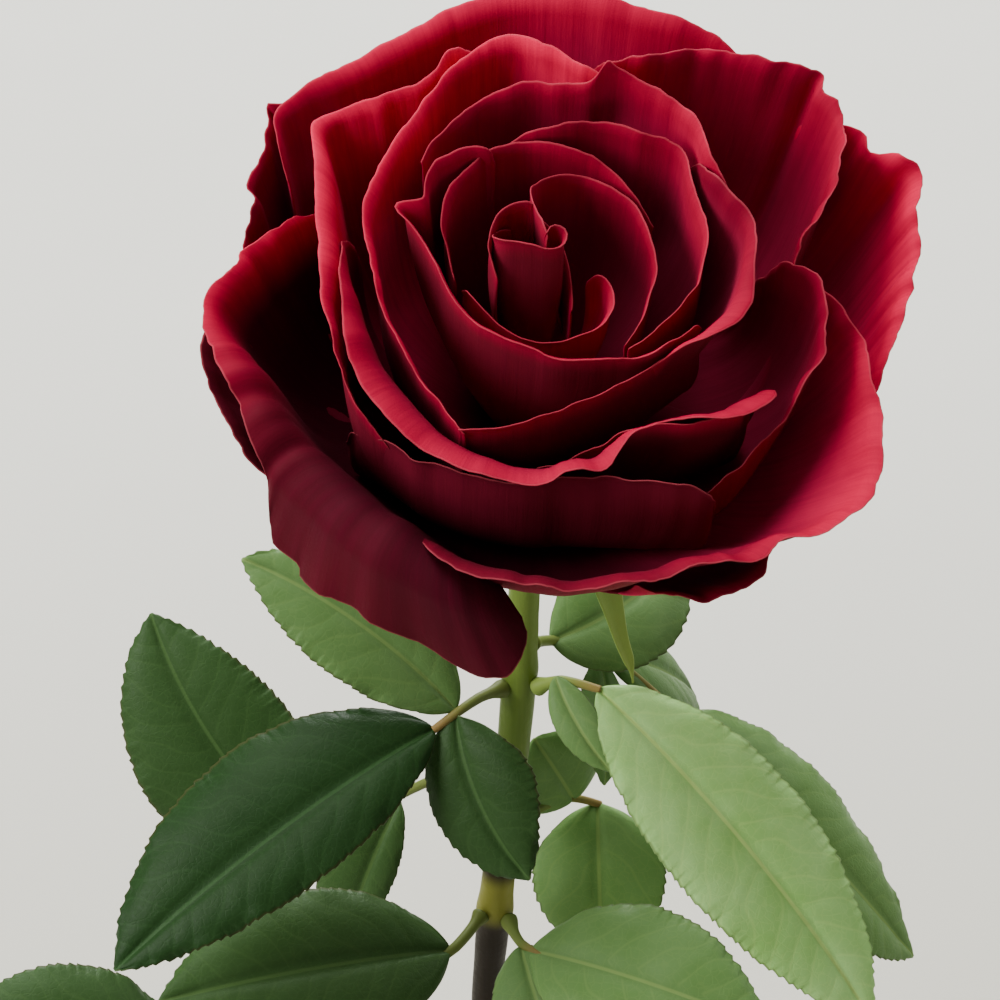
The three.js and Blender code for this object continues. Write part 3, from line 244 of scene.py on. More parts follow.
            (203, 28.4, 41.2, 80, 5.4, 130), (217, 28, 39, 78, 7.6, 130), (228, 27.8, 37.2, 78, 8, 124),
            (240, 27.8, 35.2, 78, 8, 118), (253, 27.8, 33.6, 78, 8, 112), (264, 28, 32.6, 80, 7.6, 112),
            (270, 28.2, 32.2, 81, 8, 113), (275.6, 28.4, 32, 82, 7.4, 116), (279.6, 28.4, 32, 82, 6.2, 118),
            (284, 28.4, 32, 84, 6.2, 124), (289, 28.5, 32, 84, 7, 128), (292, 28.6, 32.2, 84, 6.4, 130),
            (295, 28.7, 32.4, 84, 4.8, 124), (299, 29, 33.2, 84, 3, 110), (303, 30, 34.8, 84, 1.4, 90),
            (307, 31, 35.2, 85, 0.8, 80), (311, 32.4, 34.6, 85, 0.6, 60), (318, 35.4, 33.2, 86),
            (325, 37.6, 32, 88), (331, 38.8, 29.6, 90), (336, 39, 25.6, 90), (339, 38.4, 19, 90),
        ],
    ),
    dict(
        name="r2", spread=150, claw=6.8, rise=30, pull=(0.55, 0.52), bend=2.2, ruffle=0.4,
        painted_highlight=(0.25, 0.35, 0.55, 0.65), reach=13, painted_inside_light=0.3,
        rim=[
            (272, 26.4, 25, 92), (286, 26.8, 27, 90), (298, 27.8, 30, 88), (304, 28.8, 32.6, 88, 0.4, 50),
            (309, 30.2, 33.6, 86, 0.8, 70), (314, 32.2, 34, 84, 1.8, 100), (319, 34.2, 34.9, 82, 3.6, 120),
            (324, 36.2, 35, 80, 5, 130), (329, 38, 34.8, 76, 5.8, 138), (333, 39.2, 33.8, 76, 5.6, 136),
            (336.5, 39.8, 31.8, 80, 4.4, 124), (339.5, 39.8, 29, 84, 2.6, 100),
            (342, 39.2, 25.6, 88, 0.8, 70), (346, 37.6, 20, 92),
        ],
    ),
    dict(
        name="fi", spread=150, claw=7.6, rise=-8, pull=(0.6, 0.55), bend=2.2, ruffle=0.4, painted_highlight=0.08,
        reach=12, painted_inside_light=0.4,
        rim=[
            (203, 33.6, 13, 90), (209, 33.4, 20, 90), (222, 32.4, 25.6, 92), (240, 31.8, 27.4, 94),
            (262, 31.2, 27.8, 97), (278, 31.2, 28, 98, 0.4, 50), (290, 33.4, 29, 98, 0.6, 60),
            (300, 37, 29.8, 96, 0.8, 70), (305, 40.2, 29.8, 92, 0.8, 70), (308.6, 42.2, 28.6, 90, 0.6, 60),
            (311, 43.2, 26.6, 90, 0.4, 50), (312.6, 43.4, 24, 90, 0.2, 40), (313.8, 43, 20.6, 90),
            (314.6, 42, 15.6, 90), (314.8, 38.6, 9, 90),
        ],
    ),
    dict(
        name="rb3", spread=150, claw=7.8, rise=4, pull=(0.6, 0.5), bend=2.4, ruffle=0.5,
        painted_highlight=(0.3, 0.3, 0.2), reach=24, painted_inside_light=0.6,
        rim=[
            (20, 37, 20, 92), (12, 39.4, 30, 90), (8, 41.4, 36.4, 90), (6.4, 42, 39.2, 90, 0.3, 40),
            (4.6, 43, 40, 88, 0.6, 60), (2, 44.8, 40.8, 86, 1, 80), (-2, 47, 40.4, 84, 1, 80),
            (-7, 47.8, 38.8, 84, 1, 80), (-12, 48, 37, 84, 1, 80), (-17, 47.4, 34.6, 84, 1, 80),
            (-22, 46, 31.6, 84, 0.8, 70), (-27, 44.4, 28, 86, 0.6, 60), (-34, 43, 24, 88),
            (-44, 40, 20, 90),
        ],
    ),
    dict(
        name="bl", spread=170, claw=8, rise=4, pull=(0.6, 0.5), bend=3, ruffle=0.3,
        painted_highlight=(0.7, 0.85, 0.85, 0.9, 0.9, 0.6, 0.3), reach=24, painted_inside_light=1.1,
        folds=[(0.33, 1.6, -0.9, 14), (0.4, 2.2, 0.8, 16)],
        rim=[
            (94, 40, 42, 90), (101, 40.4, 49.6, 88, 0.4, 50), (107, 38.8, 54.6, 86, 0.8, 60),
            (112, 37, 56.6, 84, 1, 70), (116, 34.8, 55.6, 86, 1, 70), (121, 34.6, 54.6, 84, 1, 70),
            (127, 36.6, 53.2, 84, 1, 70), (134, 38.8, 51.6, 82, 1.2, 80), (141, 41.6, 50, 78, 2, 100),
            (144, 42.2, 49.6, 76, 2.6, 110), (150, 38.6, 49, 78, 3.4, 120), (161, 34.4, 47, 78, 3.8, 120),
            (175, 32, 45, 78, 3.4, 120), (186, 32.4, 43, 80, 2.4, 110), (195, 33.2, 41, 84, 1.4, 90),
            (206, 34, 37, 88, 0.6, 60), (216, 33.6, 31, 90), (224, 32, 24, 90),
        ],
    ),
    dict(
        name="bt", spread=170, claw=8.4, rise=-2, pull=(0.6, 0.5), bend=3, ruffle=0.25,
        painted_highlight=(0.5, 0.6, 0.65, 0.6, 0.5), reach=20, painted_inside_light=0.85,
        rim=[
            (153, 45.4, 41, 86), (149.4, 48.4, 46.4, 82, 0.6, 50), (146, 50.6, 47.8, 80, 1.2, 80),
            (140, 49.4, 49, 80, 2, 90), (131, 46.8, 50, 78, 3, 110), (124, 46, 50.6, 78, 3.2, 115),
            (117, 46.2, 51, 78, 3.4, 120), (104, 48.4, 52, 76, 3.4, 120), (92, 49.8, 53, 74, 3.2, 110),
            (80, 50, 53.6, 74, 3, 110), (70, 50.4, 52.6, 74, 2.6, 110), (61, 52.6, 51, 76, 2, 100),
            (55, 54.8, 48.6, 78, 1.4, 90), (47, 57, 43, 82),
        ],
    ),
    dict(
        name="rb1", spread=170, claw=8.2, rise=0, pull=(0.6, 0.5), bend=3, ruffle=0.6,
        painted_highlight=(0.45, 0.4, 0.4), reach=34, painted_inside_light=0.85,
        folds=[(0.29, 2.2, -1.1, 22), (0.48, 2.6, 1.3, 26), (0.56, 1.6, -0.8, 16)],
        rim=[
            (80, 38.8, 42, 88), (74, 38.8, 50, 88), (67, 39.4, 53.4, 84, 0.6, 60),
            (61, 42, 53.4, 82, 1.2, 80), (56, 46.2, 52.4, 80, 1.4, 90), (50, 51.2, 51, 78, 1.6, 90),
            (44, 56, 49.2, 76, 1.6, 90), (40.4, 60, 47.8, 74, 1.6, 90), (38.4, 61.8, 47, 74, 1.4, 80),
            (36, 60, 46, 76, 1.2, 80), (33.6, 60.8, 45.4, 74, 1.4, 90), (30, 59.6, 44.6, 76, 1.2, 80),
            (25, 57, 44, 76, 1.2, 80), (19, 52.2, 43, 80, 1, 80), (12, 46, 41.8, 84, 0.8, 70),
            (7.4, 43.8, 39.4, 88), (3, 43.6, 32, 90),
        ],
    ),
    dict(
        name="lt", spread=160, claw=9.6, rise=-18, pull=(0.6, 0.45), bend=3, ruffle=0.6,
        painted_highlight=(0.4, 0.3, 0.25), reach=14, painted_inside_light=0.5,
        folds=[(0.3, 1.6, -1.4, 16), (0.4, 1.8, 1, 14), (0.62, 1.8, -0.8, 12)],
        rim=[
            (128, 46, 38, 84), (136, 48.2, 44.6, 82, 0.4, 50), (140, 50.4, 46.4, 80, 0.4, 50),
            (143, 55, 45.6, 74, 0.6, 60), (146, 52.6, 44.6, 78, 0.8, 70), (150, 51.4, 42.6, 80, 0.8, 70),
            (154, 50.8, 41.2, 78, 1, 80), (157.4, 50.6, 40, 78, 1, 80), (158.8, 49.2, 39.2, 80, 0.6, 60),
            (161, 49.4, 38.2, 80, 0.6, 60), (164, 49.2, 36.8, 80, 0.6, 60), (168, 48, 34.6, 80, 0.6, 60),
            (173, 48.8, 29, 82, 0.4, 50), (180, 47, 23, 86),
        ],
    ),
    dict(
        name="rf", spread=170, claw=8.8, rise=-9, pull=(0.54, 0.45), bend=4, ruffle=0.5,
        painted_highlight=(0.4, 0.45, 0.55, 0.55, 0.4, 0.18, 0.12, 0.12, 0.12), reach=(24, 26, 30, 32, 24, 9, 7, 7, 8),
        painted_inside_light=(1, 1.1, 1.1, 1, 0.7, 0.12, 0.04, 0.04, 0.04),
        rim=[
            (12, 43.4, 28, 88), (6, 46, 35, 84), (-0.6, 48.8, 36.4, 76, 1, 70),
            (-5, 51.4, 34.4, 72, 1.8, 80), (-9, 54, 33, 70, 1.8, 80), (-14, 56, 31.4, 66, 1.8, 80),
            (-21, 59.4, 29, 60, 1.8, 80), (-26, 61.4, 27.6, 56, 1.8, 80), (-31, 62, 26, 54, 1.8, 80),
            (-35.6, 61, 24.6, 56, 1.8, 80), (-41, 58, 23.6, 58, 1.8, 80), (-44, 55.4, 23.6, 60, 1.6, 80),
            (-46, 53.8, 22.2, 62, 2.6, 100), (-48.4, 53, 21.6, 62, 3.2, 100),
            (-54, 50.4, 22.2, 66, 3.2, 100), (-62, 47.8, 22, 70, 3.6, 110), (-72, 46.2, 21.4, 74, 4, 110),
            (-84, 44.6, 21, 76, 4.4, 110), (-95, 43.2, 21.2, 76, 5, 110), (-104, 42, 21.6, 76, 5.4, 110),
            (-112, 40.6, 21, 78, 4, 100), (-120, 39, 18, 84, 1, 60), (-129, 37, 12, 88),
        ],
    ),
    dict(
        name="ll", spread=170, claw=9.2, rise=-14, pull=(0.66, 0.42), bend=3.4, ruffle=0.8,
        painted_highlight=(0.5, 1, 1, 0.8, 0.34, 0.08, 0.05, 0.05, 0.03, 0.02),
        reach=(12, 13, 14, 13, 17, 26, 32, 32, 28, 24), painted_inside_light=0.04,
        folds=[
            (0.5, 2, -0.8, 9), (0.58, 2.2, 0.8, 12), (0.65, 1.8, -0.8, 14), (0.72, 2.2, 0.8, 14),
            (0.82, 2.2, -0.7, 22),
        ],
        rim=[
            (140, 38.6, 20, 88), (146, 40.6, 28, 84), (153, 42.4, 33.4, 80, 0.8, 50),
            (160, 44, 35.4, 78, 1.2, 60), (165, 45.4, 35.6, 76, 1.6, 70), (168.4, 47.4, 35.4, 72, 2, 80),
            (172, 48.2, 35, 72, 2, 80), (176, 50, 34.8, 68, 2.6, 90), (180.5, 51.4, 34, 66, 3.2, 100),
            (186, 49.6, 33, 66, 4.6, 120, 1), (192, 47, 33, 66, 6.4, 135, 1),
            (200, 45.4, 32, 66, 7.4, 138, 1), (209, 44.6, 31, 64, 10.6, 138, 3),
            (214, 43.8, 30.2, 63, 16.6, 138, 1), (219, 43.2, 29.6, 62, 22.2, 138, -3),
            (222, 43, 29.2, 61, 25, 138, -4), (224, 42.9, 28.9, 60, 25, 138, -3),
            (226, 42.8, 28.6, 60, 25.4, 138, -3), (228, 42.7, 28.3, 60, 27.6, 138, -4),
            (230, 42.6, 28, 60, 26.8, 138, -2), (234, 42.6, 27, 60, 25, 138, -1),
            (239, 42.6, 26, 60, 24, 138, 1), (245, 42.6, 24.4, 60, 25.8, 138, 5),
            (250, 42.4, 22, 62, 27, 138, 9), (252, 42, 20.6, 64, 25.8, 138, 11),
            (253.6, 41.4, 19, 65, 23.8, 138, 12), (255, 40.6, 17, 68, 19, 138, 13),
            (256.4, 39.6, 15, 70, 15.2, 138, 13), (257.4, 38.6, 13, 72, 11, 138, 11),
        ],
    ),
    dict(
        name="rb2", spread=160, claw=9.2, rise=-16, pull=(0.64, 0.45), bend=4, ruffle=0.7,
        painted_highlight=(0.75, 0.8, 0.8), reach=40, painted_inside_light=1.35,
        folds=[(0.36, 5, 1.2, 9), (0.5, 1.3, -1, 9), (0.64, 2, 0.7, 14)],
        rim=[
            (40, 58, 34, 84), (35, 60, 39.6, 80), (31.5, 62.4, 41, 76, 0.8, 60),
            (28.4, 63.4, 40.4, 72, 1.2, 70), (26.4, 63.6, 39, 72, 1, 70), (24.2, 66.2, 39.4, 68, 1.4, 80),
            (21.6, 68.8, 38.6, 64, 1.8, 90), (19.4, 68.4, 37.4, 64, 1.8, 90), (15, 66.4, 36, 66, 1.2, 80),
            (10, 64.6, 35, 66, 1.4, 80), (4.4, 62.6, 33, 66, 1.4, 80), (-2.6, 60, 30, 68, 1.4, 80),
            (-10, 57.6, 27, 72, 1.2, 80), (-17, 55, 23, 78),
        ],
    ),
    dict(
        name="ls", spread=150, claw=9.8, rise=-24, pull=(0.64, 0.42), bend=4, ruffle=0.5, painted_highlight=0.04,
        reach=10, painted_inside_light=0.15,
        rim=[
            (140, 44, 16, 74), (150, 49, 21, 70, 1, 70), (160, 52, 23.6, 68, 1, 70),
            (168, 53.6, 23.6, 66, 1.2, 70), (174, 54.2, 21.6, 64, 1.4, 80), (179, 54.6, 19.6, 62, 1.4, 80),
            (184, 53.4, 17, 60, 1.4, 80), (190, 51, 14.4, 60, 1.4, 80), (198, 49.4, 12, 62, 1, 70),
            (210, 46, 9, 68),
        ],
    ),
    dict(
        name="sr", spread=150, claw=9.8, rise=-28, pull=(0.6, 0.42), bend=4, ruffle=0.5, painted_highlight=0.35,
        reach=12, painted_inside_light=1.1,
        rim=[
            (297, 39, 2.6, 70), (298.6, 43.4, 6, 62, 0.4, 50), (300.8, 46.8, 8.2, 54, 1, 70),
            (304, 49, 7.6, 46, 1.4, 80), (307.6, 50, 8.2, 46, 1, 80), (312, 51.6, 9, 46, 1.2, 80),
            (316.6, 52.2, 9.8, 50, 1, 70), (321, 50.6, 9, 62, 0.4, 50), (327, 46, 5, 74),
        ],
    ),
]

# ---------- calyx ----------
HIP_LENGTH = 13
# radius and height of the hip, from its shoulder down to the stem
HIP_PROFILE = [(7.6, -0.9), (8, -2.4), (7, -5.4), (5.6, -8.6), (3.9, -11.4), (2.8, -13)]
HIP_RIBS = 0.02  # share of the radius
SEPAL_CUP = 0.25
SEPAL_THICKNESS = 0.55
# azimuth, then points (radius, height, half width) from the hip outwards
SEPALS = [
    (-52, [
        (5.5, -4.2, 3.4), (12, -7, 4.2), (18.8, -17, 3.4), (24.6, -30, 2.2), (28.6, -39, 1.3),
        (31.4, -47, 0.5),
    ]),
    (22, [(5.5, -4.2, 3.4), (12.5, -7.6, 4.2), (20, -12, 3.2), (25, -19, 1.8), (28, -28, 0.6)]),
    (94, [(5.5, -4.2, 3.4), (12, -8.4, 4.2), (17, -16, 3.2), (18.6, -24, 1.8), (18, -33, 0.6)]),
    (165, [(5.5, -4.2, 3.4), (12.5, -7.6, 4.2), (20, -13, 3.2), (24, -21, 1.8), (25, -30, 0.6)]),
    (237, [(5.5, -4.2, 3.4), (11, -8.4, 4.2), (14.5, -17, 3.2), (15, -26, 1.8), (13.6, -34, 0.6)]),
]

# ---------- stem ----------
NECK_RADIUS = 2.8
GAP = 0.3
# centre line below the flower, and the radius there
STEM = [
    (6, -1.2, 275.5, 2.7), (5.6, 2.6, 261, 2.9), (4.5, 3.4, 236, 3.3), (2.6, 3.4, 212, 3.1),
    (0.2, 3.2, 187, 3.4), (-1.8, 3, 162, 3.1), (-2.6, 2.4, 130, 3.1), (-4.4, 0.4, 80, 3.2),
    (-8, -3, 14, 3.3),
]
NODES = [240, 214, 203, 183.5]  # heights of the joints that the leaves grow from
NODE_SWELL = 0.35
NODE_LENGTH = 2.6
PALE_NODE = 187  # height of the yellow band
BARK_HEIGHTS = (208, 232)  # the dark bark passes into fresh green between these
STREAK_SCALE = 700  # fine across the stem, and long along it

# ---------- leaves ----------
# Each leaf is a stalk, as a list of points, with leaflets:
# (base, tip, half width, facing, arch, side bend, tone), and for uneven ones the share of the
# half width on either side. tone: 0 dark green, 1 yellow green.
LEAVES = [
    dict(
        name="leaf_front_left", tone=0.03,
        stalk=[(1.4, 1.2, 236.4), (-3, -4, 237.6), (-7.4, -8, 236.6), (-11.6, -9.6, 234)],
        leaflets=[
            ((-7.4, -7.4, 237), (-47.4, 5, 262.5), 11, (0.3, -0.72, 0.6), 3, 3, 0.28),
            ((-11.4, -9.5, 234.2), (-70.1, -38, 199.7), 17, (-0.16, -0.62, 0.76), 6, 1, 0, (0.72, 1.12)),
            ((-7.4, -8.6, 236.4), (6.4, -26, 211.6), 12, (-0.25, -0.93, 0.2), 2, 3, 0.04, (1, 0.82)),
        ],
    ),
    dict(
        name="leaf_front_right", tone=1,
        stalk=[(8.1, 0.9, 237), (12.6, -2.6, 240.6), (19.8, -5, 240)],
        leaflets=[
            ((19.4, -5, 240.2), (70.6, -36, 186.5), 14.4, (0.12, -0.7, 0.7), 6, -2, 1),
            ((11.4, -2.6, 241.4), (21.6, -14.4, 228), 4.2, (-0.1, -0.9, 0.42), 2, 1, 0.36),
        ],
    ),
    dict(
        name="leaf_back_right", tone=0.5,
        stalk=[(6.9, 6.9, 243), (11, 13, 240), (22, 19, 233), (37, 17, 219.6)],
        leaflets=[
            ((36, 17.2, 220.6), (86.2, 13, 164), 16, (0.5, -0.4, 0.76), 5, 2, 0.38),
            ((10.6, 13, 240), (35.4, 34, 248), 12.4, (0.1, -0.7, 0.7), 3, 4, 0.3),
            ((21.4, 19.4, 233.2), (41, 40, 211), 12, (0.4, -0.3, 0.86), 3, 0, 0.3),
            ((20.4, 17.6, 233.4), (21, -1, 216), 7, (0.7, -0.3, 0.6), 2, 0, 0.3),
        ],
    ),
    dict(
        name="leaf_right", tone=0.35,
        stalk=[(4.4, 6.4, 203), (9, 13, 201), (15.4, 20, 198.6), (21.4, 23, 195)],
        leaflets=[
            ((20.8, 22.8, 195.4), (21.6, 6, 168.6), 13.6, (-0.05, -0.8, 0.6), 3, 0, 0.6),
            ((15.8, 19.4, 198.6), (7.6, 13.6, 217), 11.5, (0.4, -0.86, 0.1), 2, 0, 0.4),
            ((9, 13.6, 200.6), (-4, 41, 194), 10, (-0.2, 0.1, 1), 3, 0, 0.3),
        ],
    ),
    dict(
        name="leaf_back_left", tone=0.06,
        stalk=[(0.1, 6.55, 214), (-10, 14, 208), (-24, 20, 196), (-38, 22, 182)],
        leaflets=[
            ((-37, 22, 183.4), (-70.6, 42, 229), 18, (-0.1, -0.86, 0.5), 5, -5, 0.05, (1, 0.9)),
            ((-23.6, 20.6, 196.6), (-36, 50, 186), 11, (-0.4, 0.4, 0.8), 3, 0, 0.12),
            ((-19.4, 17.4, 199.6), (-31, 12, 168), 8, (0, -0.8, 0.6), 3, 1, 0.09, (0.7, 1.3)),
        ],
    ),
    dict(
        name="leaf_low_left", tone=0.02,
        stalk=[(-2.9, 0.1, 184), (-8, -7, 181.4), (-26, -11, 172), (-46, -13, 163), (-64, -14, 161)],
        leaflets=[
            ((-62, -14, 161), (-104, -22, 176), 14, (-0.2, -0.5, 0.84), 4, 0, 0.06),
            ((-9, -7.6, 181.2), (-64.6, -25, 182), 16, (-0.05, -0.62, 0.78), 6, 0, 0.08),
            ((-27, -11.4, 171.6), (-36, -38, 156), 10, (-0.1, -0.6, 0.8), 3, 0, 0.06),
        ],
    ),
    dict(
        name="leaf_low_right", tone=0.4,
        stalk=[(2.6, 0.4, 182.6), (5, -6, 181.8), (9, -9, 181)],
        leaflets=[
            ((7, -8, 181.4), (52.3, -27, 177), 15.5, (0.05, -0.6, 0.8), 6, 0, 0.42),
            ((5, -6.4, 181.4), (13, -26, 164), 9, (-0.1, -0.8, 0.6), 3, 0, 0.35),
        ],
    ),
]
STALK_RADIUS = (1.15, 0.75)  # at the stem and at the leaflets
STALK_SWELL = 0.7  # where it leaves the stem
STALK_SWELL_LENGTH = 2.2
LEAF_THICKNESS = 0.5
LEAFLET_SHAPE = (0.72, 0.84, 0.337)  # how its width grows, how it shrinks, and their greatest product
LEAST_HALF_WIDTH = 0.35
FOLD = 0.34
CURL = 0.4
HALF_COLUMNS = 12
TOOTH_SPACING = 2
TOOTH_DEPTH = 0.38  # millimetres
TOOTH_STEPS = 6  # stations along a tooth
TOOTH_BACK = 0.76  # share of a tooth that its long side takes up
TOOTH_LEAN = 0.3  # how far a tooth's point is drawn forwards
VEIN_SPACING = 6.2
VEIN_SLANT = 0.62
VEIN_BEND = 0.3
VEIN_WIDTH = 0.09  # share of the spacing
VEIN_GROOVE = 0.05
MIDRIB_WIDTH = 0.7
MIDRIB_GROOVE = 0.55
QUILT = 0.09  # how far the blade bulges between two veins
MARGIN_LIFT = 0.55
# waves along a leaflet: their lengths and their heights
TOOTH_WAVES = ((9.1, 5.3), (0.35, 0.25))
VEIN_WAVES = ((17, 11), (1, 0.6))
MARGIN_WAVES = ((15, 8.5), (0.7, 0.4))

# ---------- vase ----------
VASE_HEIGHT = 148
VASE_WALL = 2.4
VASE_FLOOR = 6
VASE_CORNER = 2.4  # how far the inside draws in above the floor
VASE_LIP = 1.2
VASE_SIDES = 144
# radius and height of the outside, from the foot to under the rim
VASE_OUTSIDE = [
    (22, 0), (23, 1.4), (27.5, 14), (31.4, 32), (32, 48), (28.6, 66), (21.6, 84), (15, 100), (11.8, 114),
    (11.3, 127), (12.3, 139), (13.6, 146.6),
]
FOOT_RING = 16  # radius of a circle of points on the bare underside of the foot
BARE_HEIGHT = 0.9  # no glaze below it
THROWING_RINGS = 0.05  # height of the faint rings left by throwing
THROWING_TURNS = 1.9  # radians of a ring in a millimetre


# ---------- shapes ----------
def unit(v):
    return v / np.maximum(np.linalg.norm(v, axis=-1, keepdims=True), 1e-9)


def waves(place, rng, lengths, heights):
    """A smooth run of waves of these lengths and heights, with seeded phases."""
    total = np.zeros_like(place)
    for length, height in zip(lengths, heights):
        phase, drift = rng.uniform(0, 2 * np.pi, 2)
        bent = place + 0.25 * length * np.sin(2 * np.pi * place / (3.1 * length) + drift)
        total += height * np.sin(2 * np.pi * bent / length + phase)
    return total


def smooth_step(low, high, value):
    t = np.clip((value - low) / (high - low), 0, 1)
    return t * t * (3 - 2 * t)


def bezier(a, b, c, d, t):
    return (1 - t) ** 3 * a + 3 * (1 - t) ** 2 * t * b + 3 * (1 - t) * t**2 * c + t**3 * d


def catmull(points, count):
    """A smooth run of count points through a list of points, by chord length."""
    points = np.asarray(points, float)
    ends = np.vstack([2 * points[0] - points[1], points, 2 * points[-1] - points[-2]])
    steps = np.sqrt(np.linalg.norm(np.diff(ends[:, :3], axis=0), axis=1))
    knots = np.concatenate([[0], np.cumsum(np.maximum(steps, 1e-6))])
    run = []
    for place in np.linspace(knots[1], knots[-2], count):
        i = int(np.clip(np.searchsorted(knots, place, side="right") - 1, 1, len(knots) - 3))
        k = knots[i - 1 : i + 3]
        p = ends[i - 1 : i + 3]
        for level in range(1, 4):
            p = [
                p[j] * (k[j + level] - place) / (k[j + level] - k[j])
                + p[j + 1] * (place - k[j]) / (k[j + level] - k[j])
                for j in range(4 - level)
            ]
        run.append(p[0])
    return np.array(run)


def placed(name, data):
    made = bpy.data.objects.new(name, data)
    bpy.context.scene.collection.objects.link(made)
    return made


def piece(name, points, faces, attributes, materials, picks=None):
    """A mesh object from points in millimetres, with float attributes for its materials to read."""
    mesh = bpy.data.meshes.new(name)
    mesh.from_pydata((points * MM).tolist(), [], faces)
    for key, values in attributes.items():
        layer = mesh.attributes.new(key, "FLOAT", "POINT")
        layer.data.foreach_set("value", np.asarray(values, np.float32))
    for material in materials:
        mesh.materials.append(material)
    mesh.polygons.foreach_set("use_smooth", [True] * len(mesh.polygons))
    if picks is not None:
        mesh.polygons.foreach_set("material_index", picks)
    mesh.update()
    return placed(name, mesh)


def outward(points, faces):
    """The faces, all turned round if they enclose a negative volume."""
    f = np.array([q[:3] for q in faces] + [(q[0], q[2], q[3]) for q in faces if len(q) == 4])
    across = np.cross(points[f[:, 1]], points[f[:, 2]])
    volume = np.einsum("ij,ij->i", points[f[:, 0]], across).sum()
    return faces if volume > 0 else [q[::-1] for q in faces]


def shell(grid, thickness):
    """A closed blade of the given thickness round a grid of points, with a rounded edge.

    Returns points, faces and, for each point, the grid point it came from."""
    rows, columns = grid.shape[:2]
    size = rows * columns
    normal = unit(np.cross(np.gradient(grid, axis=0), np.gradient(grid, axis=1)))
    half = np.broadcast_to(thickness / 2, (rows, columns))[..., None]
    front = (grid + normal * half).reshape(-1, 3)
    back = (grid - normal * half).reshape(-1, 3)
    index = np.arange(size).reshape(rows, columns)
    quads = np.stack([index[:-1, :-1], index[1:, :-1], index[1:, 1:], index[:-1, 1:]], -1).reshape(-1, 4)
    border = np.concatenate([index[:-1, 0], index[-1, :-1], index[:0:-1, -1], index[0, :0:-1]])
    inner = np.concatenate([index[:-1, 1], index[-2, :-1], index[:0:-1, -2], index[1, :0:-1]])
    flat = grid.reshape(-1, 3)
    centre = grid[1:-1, 1:-1].reshape(-1, 3)[::7].mean(axis=0)
    away = unit(flat[border] - flat[inner] + 1e-6 * (flat[border] - centre))
    middle = flat[border] + away * half.reshape(-1, 1)[border] * 0.9
    following = np.roll(np.arange(len(border)), -1)
    ring = 2 * size + np.arange(len(border))
    near = np.stack([border[following], border, ring, ring[following]], -1)
    far = np.stack([ring[following], ring, border + size, border[following] + size], -1)
    faces = np.vstack([quads, quads[:, ::-1] + size, near, far]).tolist()
    points = np.vstack([front, back, middle])
    source = np.concatenate([np.arange(size), np.arange(size), border])
    return points, outward(points, faces), source


def two_sides(count, total, front, back):
    """One value for a shell's front, another for its back, and a half for its edge."""
    return np.repeat([front, back, 0.5], [count, count, total - 2 * count])


def lofted(rings, ends=None):
    """A closed body through rings of points, with a point in the middle of each end."""
    sides = len(rings[0])
    if ends is None:
        ends = [rings[0].mean(axis=0), rings[-1].mean(axis=0)]
    points = np.vstack([*rings, ends])
    start = len(rings) * sides
    last = start - sides
    following = [(j + 1) % sides for j in range(sides)]
    faces = []
    for i in range(0, last, sides):
        faces += [[i + j, i + k, i + sides + k, i + sides + j] for j, k in enumerate(following)]
    for j, k in enumerate(following):
        faces += [[start, k, j], [start + 1, last + j, last + k]]
    return points, outward(points, faces)


def turned(profile, sides, ribs=0):
    """A body of revolution through radii and heights, with five shallow ribs of this share."""
    angle = np.linspace(0, 2 * np.pi, sides, endpoint=False)
    uneven = 1 + ribs * np.cos(5 * angle)
    return lofted([
        np.stack([r * uneven * np.cos(angle), r * uneven * np.sin(angle), np.full(sides, z)], -1)
        for r, z in profile
    ])


def tube(path, radii, sides):
    """A closed tube along a path. Also returns, for each point, the path's point it came from."""
    along = unit(np.gradient(path, axis=0))
    normals = [unit(np.cross(along[0], [0.31, 0.95, 0.05]))]
    for direction in along[1:]:
        normals.append(unit(normals[-1] - direction * np.dot(normals[-1], direction)))
    normals = np.array(normals)
    sideways = np.cross(along, normals)
    angle = np.linspace(0, 2 * np.pi, sides, endpoint=False)[None, :, None]
    ring = np.cos(angle) * normals[:, None] + np.sin(angle) * sideways[:, None]
    points, faces = lofted(path[:, None] + ring * radii[:, None, None], path[[0, -1]])
    source = np.concatenate([np.repeat(np.arange(len(path)), sides), [0, len(path) - 1]])
    return points, faces, source


def joined(parts):
    """Several (points, faces, attributes) as one."""
    faces, start = [], 0
    for points, part_faces, _ in parts:
        faces += [[i + start for i in face] for face in part_faces]
        start += len(points)
    attributes = {key: np.concatenate([part[2][key] for part in parts]) for key in parts[0][2]}
    return np.vstack([part[0] for part in parts]), faces, attributes


# ---------- the bloom ----------
def whole_row(azimuth, radius, height, lean, roll=0, turn=0, drift=0):
    """A point of a rim with what it leaves out."""
    return azimuth, radius, height, lean, roll, turn, drift


